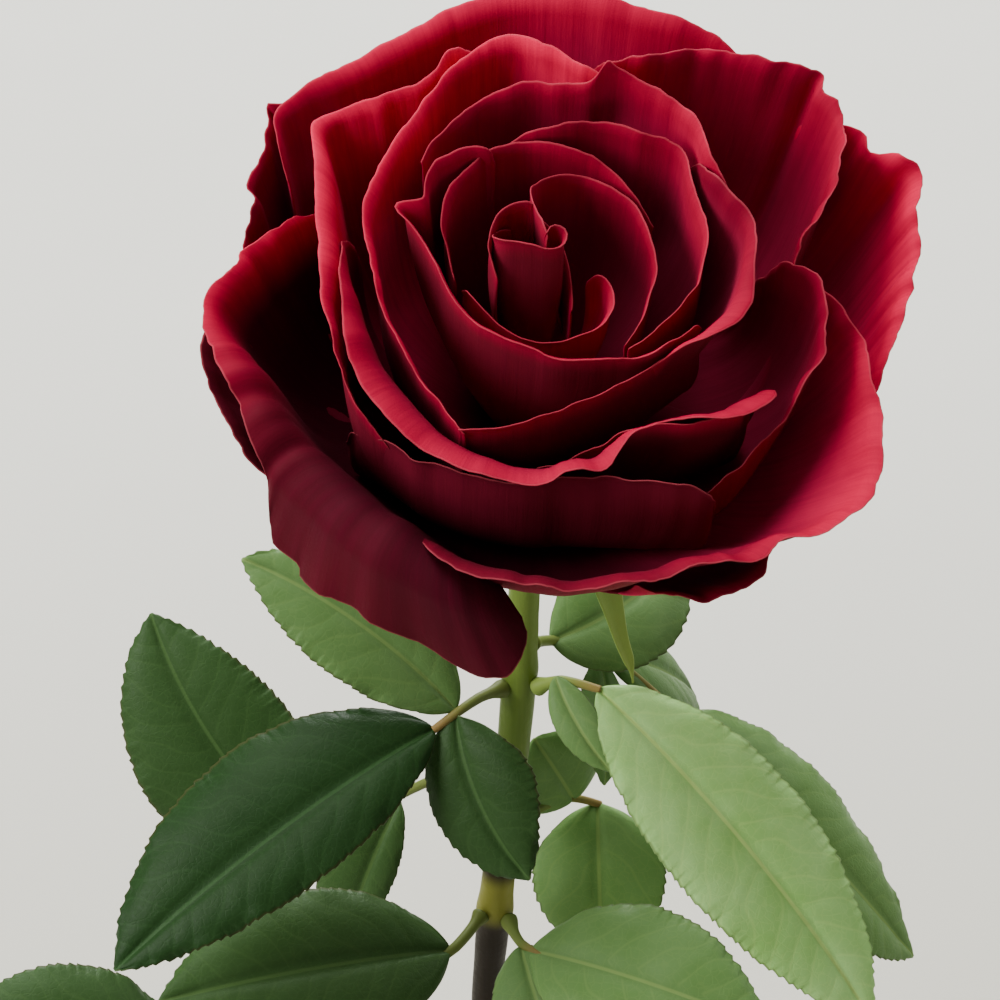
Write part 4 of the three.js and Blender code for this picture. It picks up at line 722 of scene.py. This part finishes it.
def rim_run(rim):
    """A rim's rows at even steps of a smooth run without overshoot, and the length of the run."""
    table = np.array([whole_row(*row) for row in rim], float)
    azimuth = np.radians(table[:, 0])
    place = np.stack([table[:, 1] * np.cos(azimuth), table[:, 1] * np.sin(azimuth), table[:, 2]], -1)
    steps = np.maximum(np.linalg.norm(np.diff(place, axis=0), axis=1), 0.5)
    knots = np.concatenate([[0], np.cumsum(steps)])
    slopes = np.diff(table, axis=0) / steps[:, None]
    tangents = np.empty_like(table)
    tangents[0], tangents[-1] = slopes[0], slopes[-1]
    share = (steps[1:] / (steps[:-1] + steps[1:]))[:, None]
    inner = slopes[:-1] * share + slopes[1:] * (1 - share)
    tangents[1:-1] = np.where(slopes[:-1] * slopes[1:] <= 0, inner * TURN_EASE, inner)
    ribs = max(LEAST_RIBS, int(knots[-1] / RIM_STEP))
    s = np.linspace(0, 1, ribs) * knots[-1]
    i = np.clip(np.searchsorted(knots, s, side="right") - 1, 0, len(steps) - 1)
    t = ((s - knots[i]) / steps[i])[:, None]
    step = steps[i][:, None]
    rows = (2 * t**3 - 3 * t**2 + 1) * table[i] + (t**3 - 2 * t**2 + t) * step * tangents[i]
    rows += (3 * t**2 - 2 * t**3) * table[i + 1] + (t**3 - t**2) * step * tangents[i + 1]
    return rows, knots[-1]


def flare(rim, tip, roll, turn, bend):
    """The part of each rib that turns outwards: where it starts, and its points.

    It ends where a tight roll of that length and angle would, but short ones open more softly."""
    length = np.maximum(LEAST_ROLL, roll)
    angle = np.radians(np.maximum(LEAST_TURN, turn))
    tight = np.minimum(bend, length / angle)
    straight = length - tight * angle
    end = tip - angle
    reach = np.stack([
        tight * (np.sin(tip) - np.sin(end)) + straight * np.cos(end),
        tight * (np.cos(end) - np.cos(tip)) + straight * np.sin(end),
    ], -1)
    long = smooth_step(*LONG_ROLL, length)
    soft_length = (length + SOFT_LENGTH * (1 - long))[:, None]
    soft_angle = (angle * (SOFT_TURN + (1 - SOFT_TURN) * long))[:, None]
    rows = max(8, int(soft_length.max() / ROLL_STEP))
    share = np.linspace(0, 1, rows + 1)[None]
    bent = np.clip(share * soft_length / (1.6 * bend * soft_angle), 0, 1)
    bent = share + (bent - share) * long[:, None]
    heading = tip[:, None] - soft_angle * bent**ROLL_TIGHTENING
    middle = (heading[:, 1:] + heading[:, :-1]) / 2
    steps = np.stack([np.cos(middle), np.sin(middle)], -1) * (soft_length / rows)[..., None]
    path = np.cumsum(steps, axis=1)
    start = rim + reach - path[:, -1]
    return start, start[:, None] + path


def petal_grid(petal, rng):
    """Points of a petal's middle surface in the flower's frame, [rib, row].

    Also returns, for each point, its distance from the rim and its place along the rim."""
    rows, length = rim_run(petal["rim"])
    azimuth, radius, height, lean, roll, turn, drift = rows.T
    way = np.sign(petal["rim"][-1][0] - petal["rim"][0][0])
    along = np.linspace(0, 1, len(rows))
    claw = azimuth.mean() + way * petal["spread"] * CLAW_SHARE * (2 * along - 1)
    foot = np.array([petal["claw"], 0.0])
    rise, tip = math.radians(petal["rise"]), np.radians(lean)
    start, rolled = flare(np.stack([radius, height], -1), tip, roll, turn, petal["bend"])
    chord = np.linalg.norm(start - foot, axis=1)[:, None]
    near = foot + chord * petal["pull"][0] * np.array([math.cos(rise), math.sin(rise)])
    far = start - chord * petal["pull"][1] * np.stack([np.cos(tip), np.sin(tip)], -1)
    v = np.linspace(0, 1, RIB_ROWS)[None, :, None]
    body = bezier(foot, near[:, None], far[:, None], start[:, None], v)
    eased = 1 - (1 - v[..., 0]) ** 2
    body_azimuth = claw[:, None] + (azimuth - claw)[:, None] * eased
    share = np.linspace(0, 1, rolled.shape[1] + 1)[None, 1:]
    rolled_azimuth = azimuth[:, None] + drift[:, None] * share

    profile = np.concatenate([body, rolled], axis=1)
    angle = np.radians(np.concatenate([body_azimuth, rolled_azimuth], axis=1))
    grid = np.stack([profile[..., 0] * np.cos(angle), profile[..., 0] * np.sin(angle), profile[..., 1]], -1)

    lengths = np.linalg.norm(np.diff(grid, axis=1), axis=2)
    from_rim = np.cumsum(lengths[:, ::-1], axis=1)[:, ::-1]
    from_rim = np.concatenate([from_rim, np.zeros((len(rows), 1))], axis=1)
    place = np.broadcast_to((along * length)[:, None], from_rim.shape)
    return ruffled(grid, from_rim, place, petal, rng), from_rim, place


def ruffled(grid, from_rim, place, petal, rng):
    """The grid with waves, pleats and small nicks that die away from the rim, and a softly uneven blade."""
    normal = unit(np.cross(np.gradient(grid, axis=0), np.gradient(grid, axis=1)))
    total = from_rim.max(axis=1, keepdims=True)
    ends = smooth_step(0, 6, place) * smooth_step(0, 6, place.max() - place)
    rim = np.exp(-from_rim / WAVE_FADE) * (0.25 + 0.75 * ends)
    broad, pleats, swell = (
        waves(place[:, 0], rng, *kind)[:, None] for kind in (BROAD_WAVES, PLEATS, SWELLS)
    )
    depth = np.sin(np.pi * np.clip(from_rim / total, 0, 1)) ** 2
    amount = petal["ruffle"]
    pleats = pleats * np.exp(-from_rim / PLEAT_FADE)
    lift = amount * (broad * rim + pleats + 0.5 * swell * depth)
    for share, width, height, reach in petal.get("folds", []):
        across = (place - share * place.max()) / width
        lift = lift + height * np.exp(-across**2 - from_rim / reach) * smooth_step(0, 6, total - from_rim)
    moved = grid + normal * lift[..., None]
    outwards = unit(np.gradient(moved, axis=1))
    nicks = waves(place[:, 0], rng, *NICKS)[:, None] * min(amount, MOST_NICKED)
    return moved + outwards * (nicks * np.exp(-from_rim / NICK_FADE))[..., None]


def to_world(points):
    """Points from the flower's frame to the part's."""
    tilt = math.radians(BLOOM_TILT)
    turn = np.array([
        [1, 0, 0],
        [0, math.cos(tilt), -math.sin(tilt)],
        [0, math.sin(tilt), math.cos(tilt)],
    ])
    return points @ turn.T + RECEPTACLE


def spread_along(values, place):
    """One value, or a run of them laid out evenly along the rim, for every point of the grid."""
    values = np.atleast_1d(values)
    return np.interp(place, np.linspace(0, place.max(), len(values)), values).ravel()


def make_petal(petal, number, material):
    grid, from_rim, place = petal_grid(petal, np.random.default_rng(SEED + number))
    thickness = PETAL_EDGE + (PETAL_BODY - PETAL_EDGE) * smooth_step(0, THINNING, from_rim)
    points, faces, source = shell(grid, thickness)
    share = from_rim / from_rim.max(axis=1, keepdims=True)
    normal = np.cross(grid[1:, 10] - grid[:-1, 10], grid[:-1, 11] - grid[:-1, 10])
    facing_in = (normal[:, :2] * grid[:-1, 10, :2]).sum() < 0
    # Painted light on the outside: given, or a share of the painted light inside.
    back = petal.get("back", min(BACK_SHARE * np.mean(petal["painted_inside_light"]), BACK_LIMIT))
    attributes = {
        "inner": two_sides(from_rim.size, len(points), facing_in, not facing_in),
        "back": np.full(len(points), back),
        "from_rim": from_rim.ravel()[source],
        "along_rim": place.ravel()[source] + 40 * number,
        "claw_share": share.ravel()[source],
    }
    # The painted highlight along the rim, how far it reaches, and the painted light inside, spread along
    # the rim.
    for key in ("painted_highlight", "reach", "painted_inside_light"):
        attributes[key] = spread_along(petal[key], place)[source]
    return piece("petal_" + petal["name"], to_world(points), faces, attributes, [material])


# ---------- the hip and its sepals ----------
def sepal_parts(azimuth, path, rng):
    stations = 44
    run = catmull(path, stations)
    out = np.array([math.cos(math.radians(azimuth)), math.sin(math.radians(azimuth)), 0])
    side = np.array([-out[1], out[0], 0])
    share = np.linspace(0, 1, stations)
    lobes = np.abs(np.sin(9 * share + azimuth)) * smooth_step(0.2, 0.5, share)
    half = run[:, 2] * (1 - 0.12 * lobes)
    half = np.maximum(half * (1 - 0.75 * smooth_step(0.86, 1, share)), 0.12)
    across = np.linspace(-1, 1, 13)
    grid = np.empty((stations, len(across), 3))
    for j, c in enumerate(across):
        cup = SEPAL_CUP * half * abs(c) ** 1.6
        grid[:, j] = out * (run[:, 0] + cup)[:, None] + side * (c * half)[:, None]
        grid[:, j, 2] = run[:, 1] + cup
    twist = 0.35 * waves(share * 40, rng, (23,), (1,)) * smooth_step(0.4, 1, share)
    grid += side * twist[:, None, None]
    points, faces, source = shell(grid, SEPAL_THICKNESS * (1 - 0.55 * share)[:, None])
    return points, faces, {"tip_share": np.repeat(share, len(across))[source]}


def make_calyx(material):
    points, faces = turned(catmull(HIP_PROFILE, 24), 60, HIP_RIBS)
    parts = [(points, faces, {"tip_share": np.zeros(len(points))})]
    for number, (azimuth, path) in enumerate(SEPALS):
        parts.append(sepal_parts(azimuth, path, np.random.default_rng(SEED + 100 + number)))
    points, faces, attributes = joined(parts)
    return piece("hip_and_sepals", to_world(points), faces, attributes, [material])


# ---------- the stem ----------
def make_stem(material):
    top = (*to_world(np.array([0, 0, -HIP_LENGTH - GAP])), NECK_RADIUS)
    run = catmull([top, *STEM], 260)
    swell = sum(NODE_SWELL * np.exp(-(((run[:, 2] - z) / NODE_LENGTH) ** 2)) for z in NODES)
    uneven = waves(run[:, 2], np.random.default_rng(SEED), (31, 12), (0.05, 0.03))
    points, faces, source = tube(run[:, :3], run[:, 3] + swell + uneven, 36)
    return piece("stem_bark", points, faces, {"height_mm": run[source, 2]}, [material])


# ---------- the leaves ----------
def side_waves(place, base, left, kind):
    """Waves that are the same for every column on one side of a leaflet's midrib."""
    return waves(place, np.random.default_rng(SEED + int(abs(base).sum() * 10) + left), *kind)


def leaflet_parts(leaflet, rng):
    base, tip, half, facing, arch, side_bend, tone, *sides = leaflet
    base, tip, facing = (np.asarray(p, float) for p in (base, tip, facing))
    line = tip - base
    length = np.linalg.norm(line)
    sideways = unit(np.cross(line, facing))
    lift = unit(np.cross(sideways, line))
    pulls = [base + line * t + lift * arch + sideways * side_bend for t in (0.3, 0.7)]
    teeth = max(9, round(length / TOOTH_SPACING))
    s = np.linspace(0, 1, teeth * TOOTH_STEPS + 1)
    run = s * length
    midrib = bezier(base, *pulls, tip, s[:, None])
    along = unit(np.gradient(midrib, axis=0))
    across = unit(np.cross(along, facing))
    normal = unit(np.cross(across, along))

    grow, shrink, most = LEAFLET_SHAPE
    width = np.maximum(half * s**grow * (1 - s) ** shrink / most, LEAST_HALF_WIDTH)
    even = np.linspace(-1, 1, 2 * HALF_COLUMNS + 1)
    columns = np.sign(even) * np.abs(even) ** 0.85
    grid = np.empty((len(s), len(columns), 3))
    phase = np.empty((len(s), len(columns)))
    share = np.interp(columns, (-0.3, 0.3), sides[0]) if sides else np.ones(len(columns))
    toothed = smooth_step(0.05, 0.14, s) * smooth_step(0, 0.03, 1 - s)
    for j, column in enumerate(columns):
        out = abs(column)
        left = column < 0
        edge = smooth_step(0.72, 1, out)
        wobble = waves(run, rng, (TOOTH_SPACING * 3.3,), (0.12,)) if out > 0.99 else 0
        fraction = np.mod(s * teeth + 0.5 * left + wobble, 1)
        rising = (fraction / TOOTH_BACK) ** 1.3
        saw = np.where(fraction < TOOTH_BACK, rising, (1 - fraction) / (1 - TOOTH_BACK))
        sizes = 1 + side_waves(run, base, left, TOOTH_WAVES)
        notch = TOOTH_DEPTH * sizes * min(1, half / 12) * toothed * edge * (1 - saw)
        reach = column * (width * share[j] - notch)
        forward = edge * toothed * saw * TOOTH_LEAN
        size = np.abs(reach)
        phase[:, j] = (run - (VEIN_SLANT + VEIN_BEND * out) * size) / VEIN_SPACING
        phase[:, j] += 0.18 * side_waves(run, base, left, VEIN_WAVES)
        phase[:, j] += 0.5 * left
        near = np.abs(np.mod(phase[:, j] + 0.5, 1) - 0.5)
        inner = smooth_step(0.0, 0.12, out) * (1 - 0.75 * smooth_step(0.75, 1, out))
        relief = QUILT * (near * 2) ** 0.7 * inner
        relief -= VEIN_GROOVE * np.exp(-((near / VEIN_WIDTH) ** 2)) * inner
        relief -= MIDRIB_GROOVE * np.exp(-((size / MIDRIB_WIDTH) ** 2)) * smooth_step(0, 0.1, 1 - s)
        shifted = run + 13 * np.sign(column)
        margin = MARGIN_LIFT * edge * side_waves(shifted, base, left, MARGIN_WAVES)
        height = (FOLD - CURL * out) * size + relief * min(1, half / 14) + margin * min(1, half / 12)
        grid[:, j] = midrib + across * reach[:, None] + normal * height[:, None] + along * forward[:, None]
    thickness = LEAF_THICKNESS * (1 - 0.45 * smooth_step(0.6, 1, np.abs(columns)))[None, :]
    points, faces, source = shell(grid, thickness)
    attributes = {
        "vein_phase": phase.ravel()[source],
        "across_mm": (columns * share * width[:, None]).ravel()[source],
        "across": np.tile(columns, len(s))[source],
        "upper": two_sides(phase.size, len(points), 0, 1),
        "tone": np.full(len(points), tone),
    }
    return points, faces, attributes


def make_blades(leaf, number, material):
    rng = np.random.default_rng(SEED + 200 + number)
    points, faces, attributes = joined([leaflet_parts(leaflet, rng) for leaflet in leaf["leaflets"]])
    return piece(leaf["name"] + "_blades", points, faces, attributes, [material])


def make_stalk(leaf, material):
    run = catmull(leaf["stalk"], 20 * len(leaf["stalk"]))
    share = np.linspace(0, 1, len(run))
    radius = STALK_RADIUS[0] + (STALK_RADIUS[1] - STALK_RADIUS[0]) * share
    from_stem = share * np.linalg.norm(run[-1] - run[0])
    radius = radius + STALK_SWELL * np.exp(-((from_stem / STALK_SWELL_LENGTH) ** 2))
    points, faces, source = tube(run, radius, 18)
    attributes = {"share": share[source], "tone": np.full(len(points), leaf["tone"])}
    return piece(leaf["name"] + "_stalk", points, faces, attributes, [material])


# ---------- the vase ----------
def make_vase(glaze, clay):
    outside = catmull(VASE_OUTSIDE[1:], 90)
    inside = outside[::-1] - [VASE_WALL, 0]
    inside = inside[inside[:, 1] > VASE_FLOOR + 2]
    angle = np.linspace(-0.1, np.pi + 0.1, 14)
    lip = np.stack([
        outside[-1, 0] - VASE_WALL / 2 + VASE_LIP * np.cos(angle),
        VASE_HEIGHT - VASE_LIP + VASE_LIP * np.sin(angle),
    ], -1)
    radius, height = inside[-1]
    t = np.linspace(0, np.pi / 2, 8)[1:]
    corner = np.stack([
        radius - VASE_CORNER * (1 - np.cos(t)),
        VASE_FLOOR + (height - VASE_FLOOR) * (1 - np.sin(t)),
    ], -1)
    foot_radius = VASE_OUTSIDE[0][0]
    foot = [(0.6, 0), (FOOT_RING * 0.6, 0), (FOOT_RING, 0), (foot_radius - 0.4, 0), (foot_radius, 0.25)]
    floor = [(corner[-1, 0] * 0.66, VASE_FLOOR), (corner[-1, 0] * 0.33, VASE_FLOOR), (0.6, VASE_FLOOR)]
    profile = np.vstack([foot, outside, lip, inside, corner, floor])
    high = profile[:, 1]
    away_from_ends = smooth_step(3, 12, high) * smooth_step(0, 12, 146 - high)
    profile[:, 0] += THROWING_RINGS * np.sin(high * THROWING_TURNS) * away_from_ends
    points, faces = turned(profile, VASE_SIDES)
    flat = points[:, 2] < BARE_HEIGHT
    picks = [1 if all(flat[i] for i in face) else 0 for face in faces]
    return piece("vase_glazed", points, faces, {"height_mm": points[:, 2]}, [glaze, clay], picks)


# ---------- materials ----------
class Recipe:
    """A material's nodes. Values that go into a node may be numbers, colours or other nodes' outputs."""

    def __init__(self, name, **settings):
        self.material = bpy.data.materials.new(name)
        self.material.use_nodes = True
        self.tree = self.material.node_tree
        self.shader = self.tree.nodes["Principled BSDF"]
        for key, value in settings.items():
            self.shader.inputs[key.replace("_", " ")].default_value = value

    def put(self, socket, value):
        if isinstance(value, bpy.types.NodeSocket):
            self.tree.links.new(value, socket)
        elif socket.type == "RGBA":
            socket.default_value = (*value, 1)
        else:
            socket.default_value = value

    def node(self, kind, *values, **settings):
        """A node with these settings, and these values for its first sockets."""
        made = self.tree.nodes.new("ShaderNode" + kind)
        for key, value in settings.items():
            setattr(made, key, value)
        for socket, value in zip(made.inputs, values):
            self.put(socket, value)
        return made

    def attribute(self, name):
        return self.node("Attribute", attribute_name=name).outputs["Fac"]

    def place(self):
        return self.node("TexCoord").outputs["Object"]

    def coordinates(self):
        return self.node("SeparateXYZ", self.place()).outputs

    def math(self, operation, *values):
        return self.node("Math", *values, operation=operation).outputs[0]

    def times(self, first, second):
        return self.math("MULTIPLY", first, second)

    def step(self, value, low, high, to_low=0.0, to_high=1.0):
        made = self.node("MapRange", value, low, high, to_low, to_high, interpolation_type="SMOOTHSTEP")
        return made.outputs[0]

    def vector(self, x, y, z=0.0):
        return self.node("CombineXYZ", x, y, z).outputs[0]

    def noise(self, scale, detail=3, roughness=0.55, vector=None):
        made = self.node("TexNoise")
        self.put(made.inputs["Vector"], self.place() if vector is None else vector)
        made.inputs["Scale"].default_value = scale
        made.inputs["Detail"].default_value = detail
        made.inputs["Roughness"].default_value = roughness
        return made.outputs["Fac"]

    def cells(self, scale):
        """Distance to the edges of cells, 0 on an edge."""
        made = self.node("TexVoronoi", feature="DISTANCE_TO_EDGE")
        self.put(made.inputs["Vector"], self.place())
        made.inputs["Scale"].default_value = scale
        return made.outputs["Distance"]

    def mix(self, share, first, second):
        made = self.node("Mix", share, data_type="RGBA")
        self.put(made.inputs[6], first)
        self.put(made.inputs[7], second)
        return made.outputs[2]

    def bump(self, height, distance):
        """Relief of this depth in metres."""
        made = self.node("Bump")
        made.inputs["Distance"].default_value = distance
        self.put(made.inputs["Height"], height)
        previous = self.shader.inputs["Normal"]
        if previous.is_linked:
            self.put(made.inputs["Normal"], previous.links[0].from_socket)
        self.put(previous, made.outputs[0])

    def finish(self, colour, grain, smooth, rough, relief=0, between=(0.2, 0.8)):
        """The material with this colour, and a roughness and a relief that follow a noise."""
        self.put(self.shader.inputs["Base Color"], colour)
        self.put(self.shader.inputs["Roughness"], self.step(grain, *between, smooth, rough))
        if relief:
            self.bump(grain, relief)
        return self.material


def petal_material():
    recipe = Recipe("petal_velvet", Sheen_Weight=0.02, Sheen_Roughness=0.4, Specular_IOR_Level=0.025)
    recipe.shader.inputs["Sheen Tint"].default_value = (1.0, 0.25, 0.35, 1)
    from_rim = recipe.attribute("from_rim")
    along = recipe.attribute("along_rim")
    share = recipe.attribute("claw_share")
    painted_highlight = recipe.attribute("painted_highlight")
    veins = recipe.noise(0.9, 3, 0.5, recipe.vector(along, recipe.times(from_rim, 0.05)))
    fibres = recipe.noise(3.2, 2, 0.5, recipe.vector(along, recipe.times(from_rim, 0.03)))
    broad = recipe.noise(75)
    fine = recipe.noise(2600, 2)
    depth = recipe.step(recipe.math("DIVIDE", from_rim, recipe.attribute("reach")), 0, 1)
    # Painted light on the inside: a painted highlight along the rim fades over reach into painted light and
    # shade set per petal.
    rim = recipe.mix(painted_highlight, (0.03, 0.003, 0.006), (0.76, 0.002, 0.06))
    dark = recipe.mix(recipe.times(recipe.attribute("painted_inside_light"), 0.6), (0.03, 0.004, 0.008), (0.85, 0.03, 0.13))
    inside = recipe.mix(depth, rim, dark)
    # Painted shade darkens the inside towards the claw, deep in the bloom.
    inside = recipe.mix(recipe.step(share, 0.5, 1), inside, (0.04, 0.005, 0.01))
    # The outside: painted light set by back, with a painted highlight within 5.5 mm of the rim.
    painted_outside_light = recipe.mix(recipe.attribute("back"), (0.05, 0.005, 0.01), (0.75, 0.018, 0.08))
    border = recipe.mix(painted_highlight, (0.06, 0.005, 0.012), (0.7, 0.006, 0.06))
    outside = recipe.mix(recipe.step(from_rim, 0, 5.5), border, painted_outside_light)
    # Painted shade darkens the outside towards the claw, deep in the bloom.
    outside = recipe.mix(recipe.step(share, 0.4, 1), outside, (0.06, 0.006, 0.015))
    body = recipe.mix(recipe.attribute("inner"), outside, inside)
    clouded = recipe.mix(0.5, body, (0.05, 0.002, 0.01))
    body = recipe.mix(recipe.step(broad, 0.35, 0.7, 0, 0.35), body, clouded)
    body = recipe.mix(recipe.step(veins, 0.35, 0.75, 0, 0.2), body, (0.1, 0.002, 0.016))
    streaked = recipe.mix(0.6, body, (0.04, 0.002, 0.01))
    body = recipe.mix(recipe.step(fibres, 0.4, 0.7, 0, 0.12), body, streaked)
    # A thin pale line at the very rim is a painted highlight where the edge catches the light.
    edge = recipe.step(from_rim, 0.05, 0.3, 0.35, 0)
    recipe.bump(veins, 0.00005)
    recipe.bump(fibres, 0.00003)
    return recipe.finish(recipe.mix(edge, body, (0.42, 0.07, 0.09)), fine, 0.5, 0.66, 0.00002)


def leaf_material():
    recipe = Recipe("leaf_blade", Specular_IOR_Level=0.06)
    across = recipe.math("ABSOLUTE", recipe.attribute("across_mm"))
    tone = recipe.attribute("tone")
    edge = recipe.step(recipe.math("ABSOLUTE", recipe.attribute("across")), 0.955, 1.0)
    fraction = recipe.math("FRACT", recipe.math("ADD", recipe.attribute("vein_phase"), 0.5))
    near = recipe.math("ABSOLUTE", recipe.math("SUBTRACT", fraction, 0.5))
    side_vein = recipe.times(recipe.step(near, 0.01, 0.09, 1, 0), recipe.step(across, 0.4, 1.6))
    midrib = recipe.step(across, 0.15, 0.6, 1, 0)
    net = recipe.step(recipe.cells(620), 0.0, 0.09, 1, 0)
    patches = recipe.noise(70, 4)
    fine = recipe.noise(1500)
    dark = recipe.mix(patches, (0.008, 0.024, 0.006), (0.014, 0.038, 0.01))
    bright = recipe.mix(patches, (0.15, 0.33, 0.06), (0.33, 0.55, 0.21))
    blade = recipe.mix(tone, dark, bright)
    pale = recipe.mix(tone, (0.03, 0.075, 0.022), (0.5, 0.68, 0.2))
    lines = recipe.math("MAXIMUM", recipe.times(side_vein, 0.15), recipe.times(midrib, 0.6))
    lines = recipe.math("MAXIMUM", lines, recipe.times(net, 0.1))
    top = recipe.mix(lines, blade, pale)
    top = recipe.mix(recipe.times(edge, 0.55), top, (0.045, 0.035, 0.012))
    under = recipe.mix(recipe.times(lines, 0.6), (0.13, 0.22, 0.1), (0.27, 0.38, 0.18))
    recipe.bump(recipe.math("ADD", recipe.times(net, -0.25), fine), 0.00006)
    return recipe.finish(recipe.mix(recipe.attribute("upper"), under, top), fine, 0.36, 0.5)


def stalk_material():
    recipe = Recipe("leaf_stalk", Specular_IOR_Level=0.15)
    patches = recipe.noise(160, 4)
    green = recipe.mix(recipe.attribute("tone"), (0.06, 0.11, 0.02), (0.14, 0.24, 0.04))
    brown = recipe.mix(patches, (0.2, 0.1, 0.04), (0.32, 0.17, 0.06))
    browning = recipe.step(recipe.attribute("share"), 0.5, 1, 0.15, 0.7)
    return recipe.finish(recipe.mix(browning, green, brown), patches, 0.42, 0.58, 0.0001)


def sepal_material():
    recipe = Recipe("sepal_skin", Specular_IOR_Level=0.15)
    down = recipe.noise(1900)
    green = recipe.mix(recipe.noise(120), (0.11, 0.2, 0.03), (0.2, 0.32, 0.06))
    yellowing = recipe.step(recipe.attribute("tip_share"), 0.4, 1, 0, 0.5)
    return recipe.finish(recipe.mix(yellowing, green, (0.24, 0.3, 0.05)), down, 0.45, 0.62, 0.00008)


def stem_material():
    recipe = Recipe("stem_skin", Specular_IOR_Level=0.15)
    height = recipe.attribute("height_mm")
    x, y, _ = recipe.coordinates()
    across = recipe.vector(recipe.times(x, STREAK_SCALE), recipe.times(y, STREAK_SCALE), 0.02)
    streaks = recipe.noise(1, 4, vector=across)
    lenticels = recipe.noise(900)
    fresh = recipe.mix(streaks, (0.075, 0.12, 0.016), (0.145, 0.21, 0.036))
    old = recipe.mix(streaks, (0.01, 0.007, 0.005), (0.032, 0.022, 0.014))
    from_node = recipe.math("ABSOLUTE", recipe.math("SUBTRACT", height, PALE_NODE))
    level = recipe.math("ADD", height, recipe.times(streaks, 18))
    skin = recipe.mix(recipe.step(level, *BARK_HEIGHTS), old, fresh)
    skin = recipe.mix(recipe.step(from_node, 2.5, 7, 1, 0), skin, (0.22, 0.22, 0.035))
    return recipe.finish(skin, lenticels, 0.4, 0.56, 0.00012)


def glaze_material():
    recipe = Recipe("glaze_satin", Coat_Roughness=0.12, Coat_Weight=0.35, Specular_IOR_Level=0.5)
    clouds = recipe.noise(28, 4)
    specks = recipe.step(recipe.noise(900, 2, 0.4), 0.68, 0.78, 0, 0.55)
    pool = recipe.step(recipe.attribute("height_mm"), 0.5, 6, 0.5, 0)
    body = recipe.mix(clouds, (0.74, 0.7, 0.62), (0.84, 0.81, 0.74))
    body = recipe.mix(pool, body, (0.62, 0.55, 0.44))
    recipe.bump(recipe.noise(90, 2), 0.0003)
    speckled = recipe.mix(specks, body, (0.33, 0.24, 0.15))
    return recipe.finish(speckled, clouds, 0.24, 0.36, between=(0.3, 0.7))


def clay_material():
    recipe = Recipe("clay_bare", Specular_IOR_Level=0.3)
    grit = recipe.noise(1400, 4)
    return recipe.finish(recipe.mix(grit, (0.5, 0.4, 0.29), (0.66, 0.56, 0.43)), grit, 0.72, 0.9, 0.0002)


def water_material():
    recipe = Recipe("water_clear", IOR=1.333, Transmission_Weight=1.0)
    haze = recipe.noise(60, 2)
    return recipe.finish(recipe.mix(haze, (0.9, 0.95, 0.94), (0.97, 0.99, 0.98)), haze, 0.0, 0.03)


def floor_material():
    recipe = Recipe("backdrop_paper", Specular_IOR_Level=0.1)
    grain = recipe.noise(8)
    # Painted light: the backdrop turns paler further back, standing in for the light's falloff.
    front = recipe.mix(grain, (0.45, 0.44, 0.385), (0.48, 0.47, 0.415))
    back = recipe.mix(grain, (0.565, 0.56, 0.52), (0.595, 0.59, 0.55))
    painted_light_further_back = recipe.step(recipe.coordinates()[1], 0.1, 0.75)
    return recipe.finish(recipe.mix(painted_light_further_back, front, back), grain, 0.8, 0.9)


# ---------- stage ----------
def make_floor():
    mesh = bpy.data.meshes.new("floor")
    corners = [(x * FLOOR_HALF, y * FLOOR_HALF, 0) for x, y in ((-1, -1), (1, -1), (1, 1), (-1, 1))]
    mesh.from_pydata(corners, [], [(0, 1, 2, 3)])
    mesh.materials.append(floor_material())
    floor = placed("floor", mesh)


def make_light(name, place, target, size, power, colour):
    data = bpy.data.lights.new(name, "AREA")
    data.shape = "DISK"
    data.size = size
    data.energy = power
    data.color = colour
    light = placed(name, data)
    light.location = place
    direction = np.array(target) - np.array(place)
    yaw = math.atan2(direction[1], direction[0])
    tilt = math.acos(-direction[2] / np.linalg.norm(direction))
    light.rotation_euler = (tilt, 0, yaw - math.pi / 2)


def make_stage():
    make_floor()
    for light in LIGHTS:
        make_light(*light)
    world = bpy.data.worlds.new("studio")
    world.use_nodes = True
    background = world.node_tree.nodes["Background"]
    background.inputs["Color"].default_value = ROOM_COLOUR
    background.inputs["Strength"].default_value = ROOM_STRENGTH
    bpy.context.scene.world = world
    data = bpy.data.cameras.new("camera")
    data.lens = LENS
    data.sensor_width = SENSOR
    camera = placed("camera", data)
    camera.location = [v * MM for v in CAMERA_PLACE]
    camera.rotation_euler = (math.radians(CAMERA_PITCH), 0, 0)
    bpy.context.scene.camera = camera


# ---------- the whole rose ----------
def dress(made, nodes):
    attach(made, "root")
    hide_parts(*nodes)


def make_rose():
    velvet = petal_material()
    for number, petal in enumerate(PETALS):
        dress(make_petal(petal, number, velvet), ["bloom"])
    dress(make_calyx(sepal_material()), ["calyx"])
    dress(make_stem(stem_material()), ["stem"])
    blades, stalks = leaf_material(), stalk_material()
    for number, leaf in enumerate(LEAVES):
        dress(make_blades(leaf, number, blades), [leaf["name"]])
        dress(make_stalk(leaf, stalks), [leaf["name"]])
    dress(make_vase(glaze_material(), clay_material()), ["vase"])
    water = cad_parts["water"].data
    water.materials.clear()
    water.materials.append(water_material())


make_rose()
make_stage()
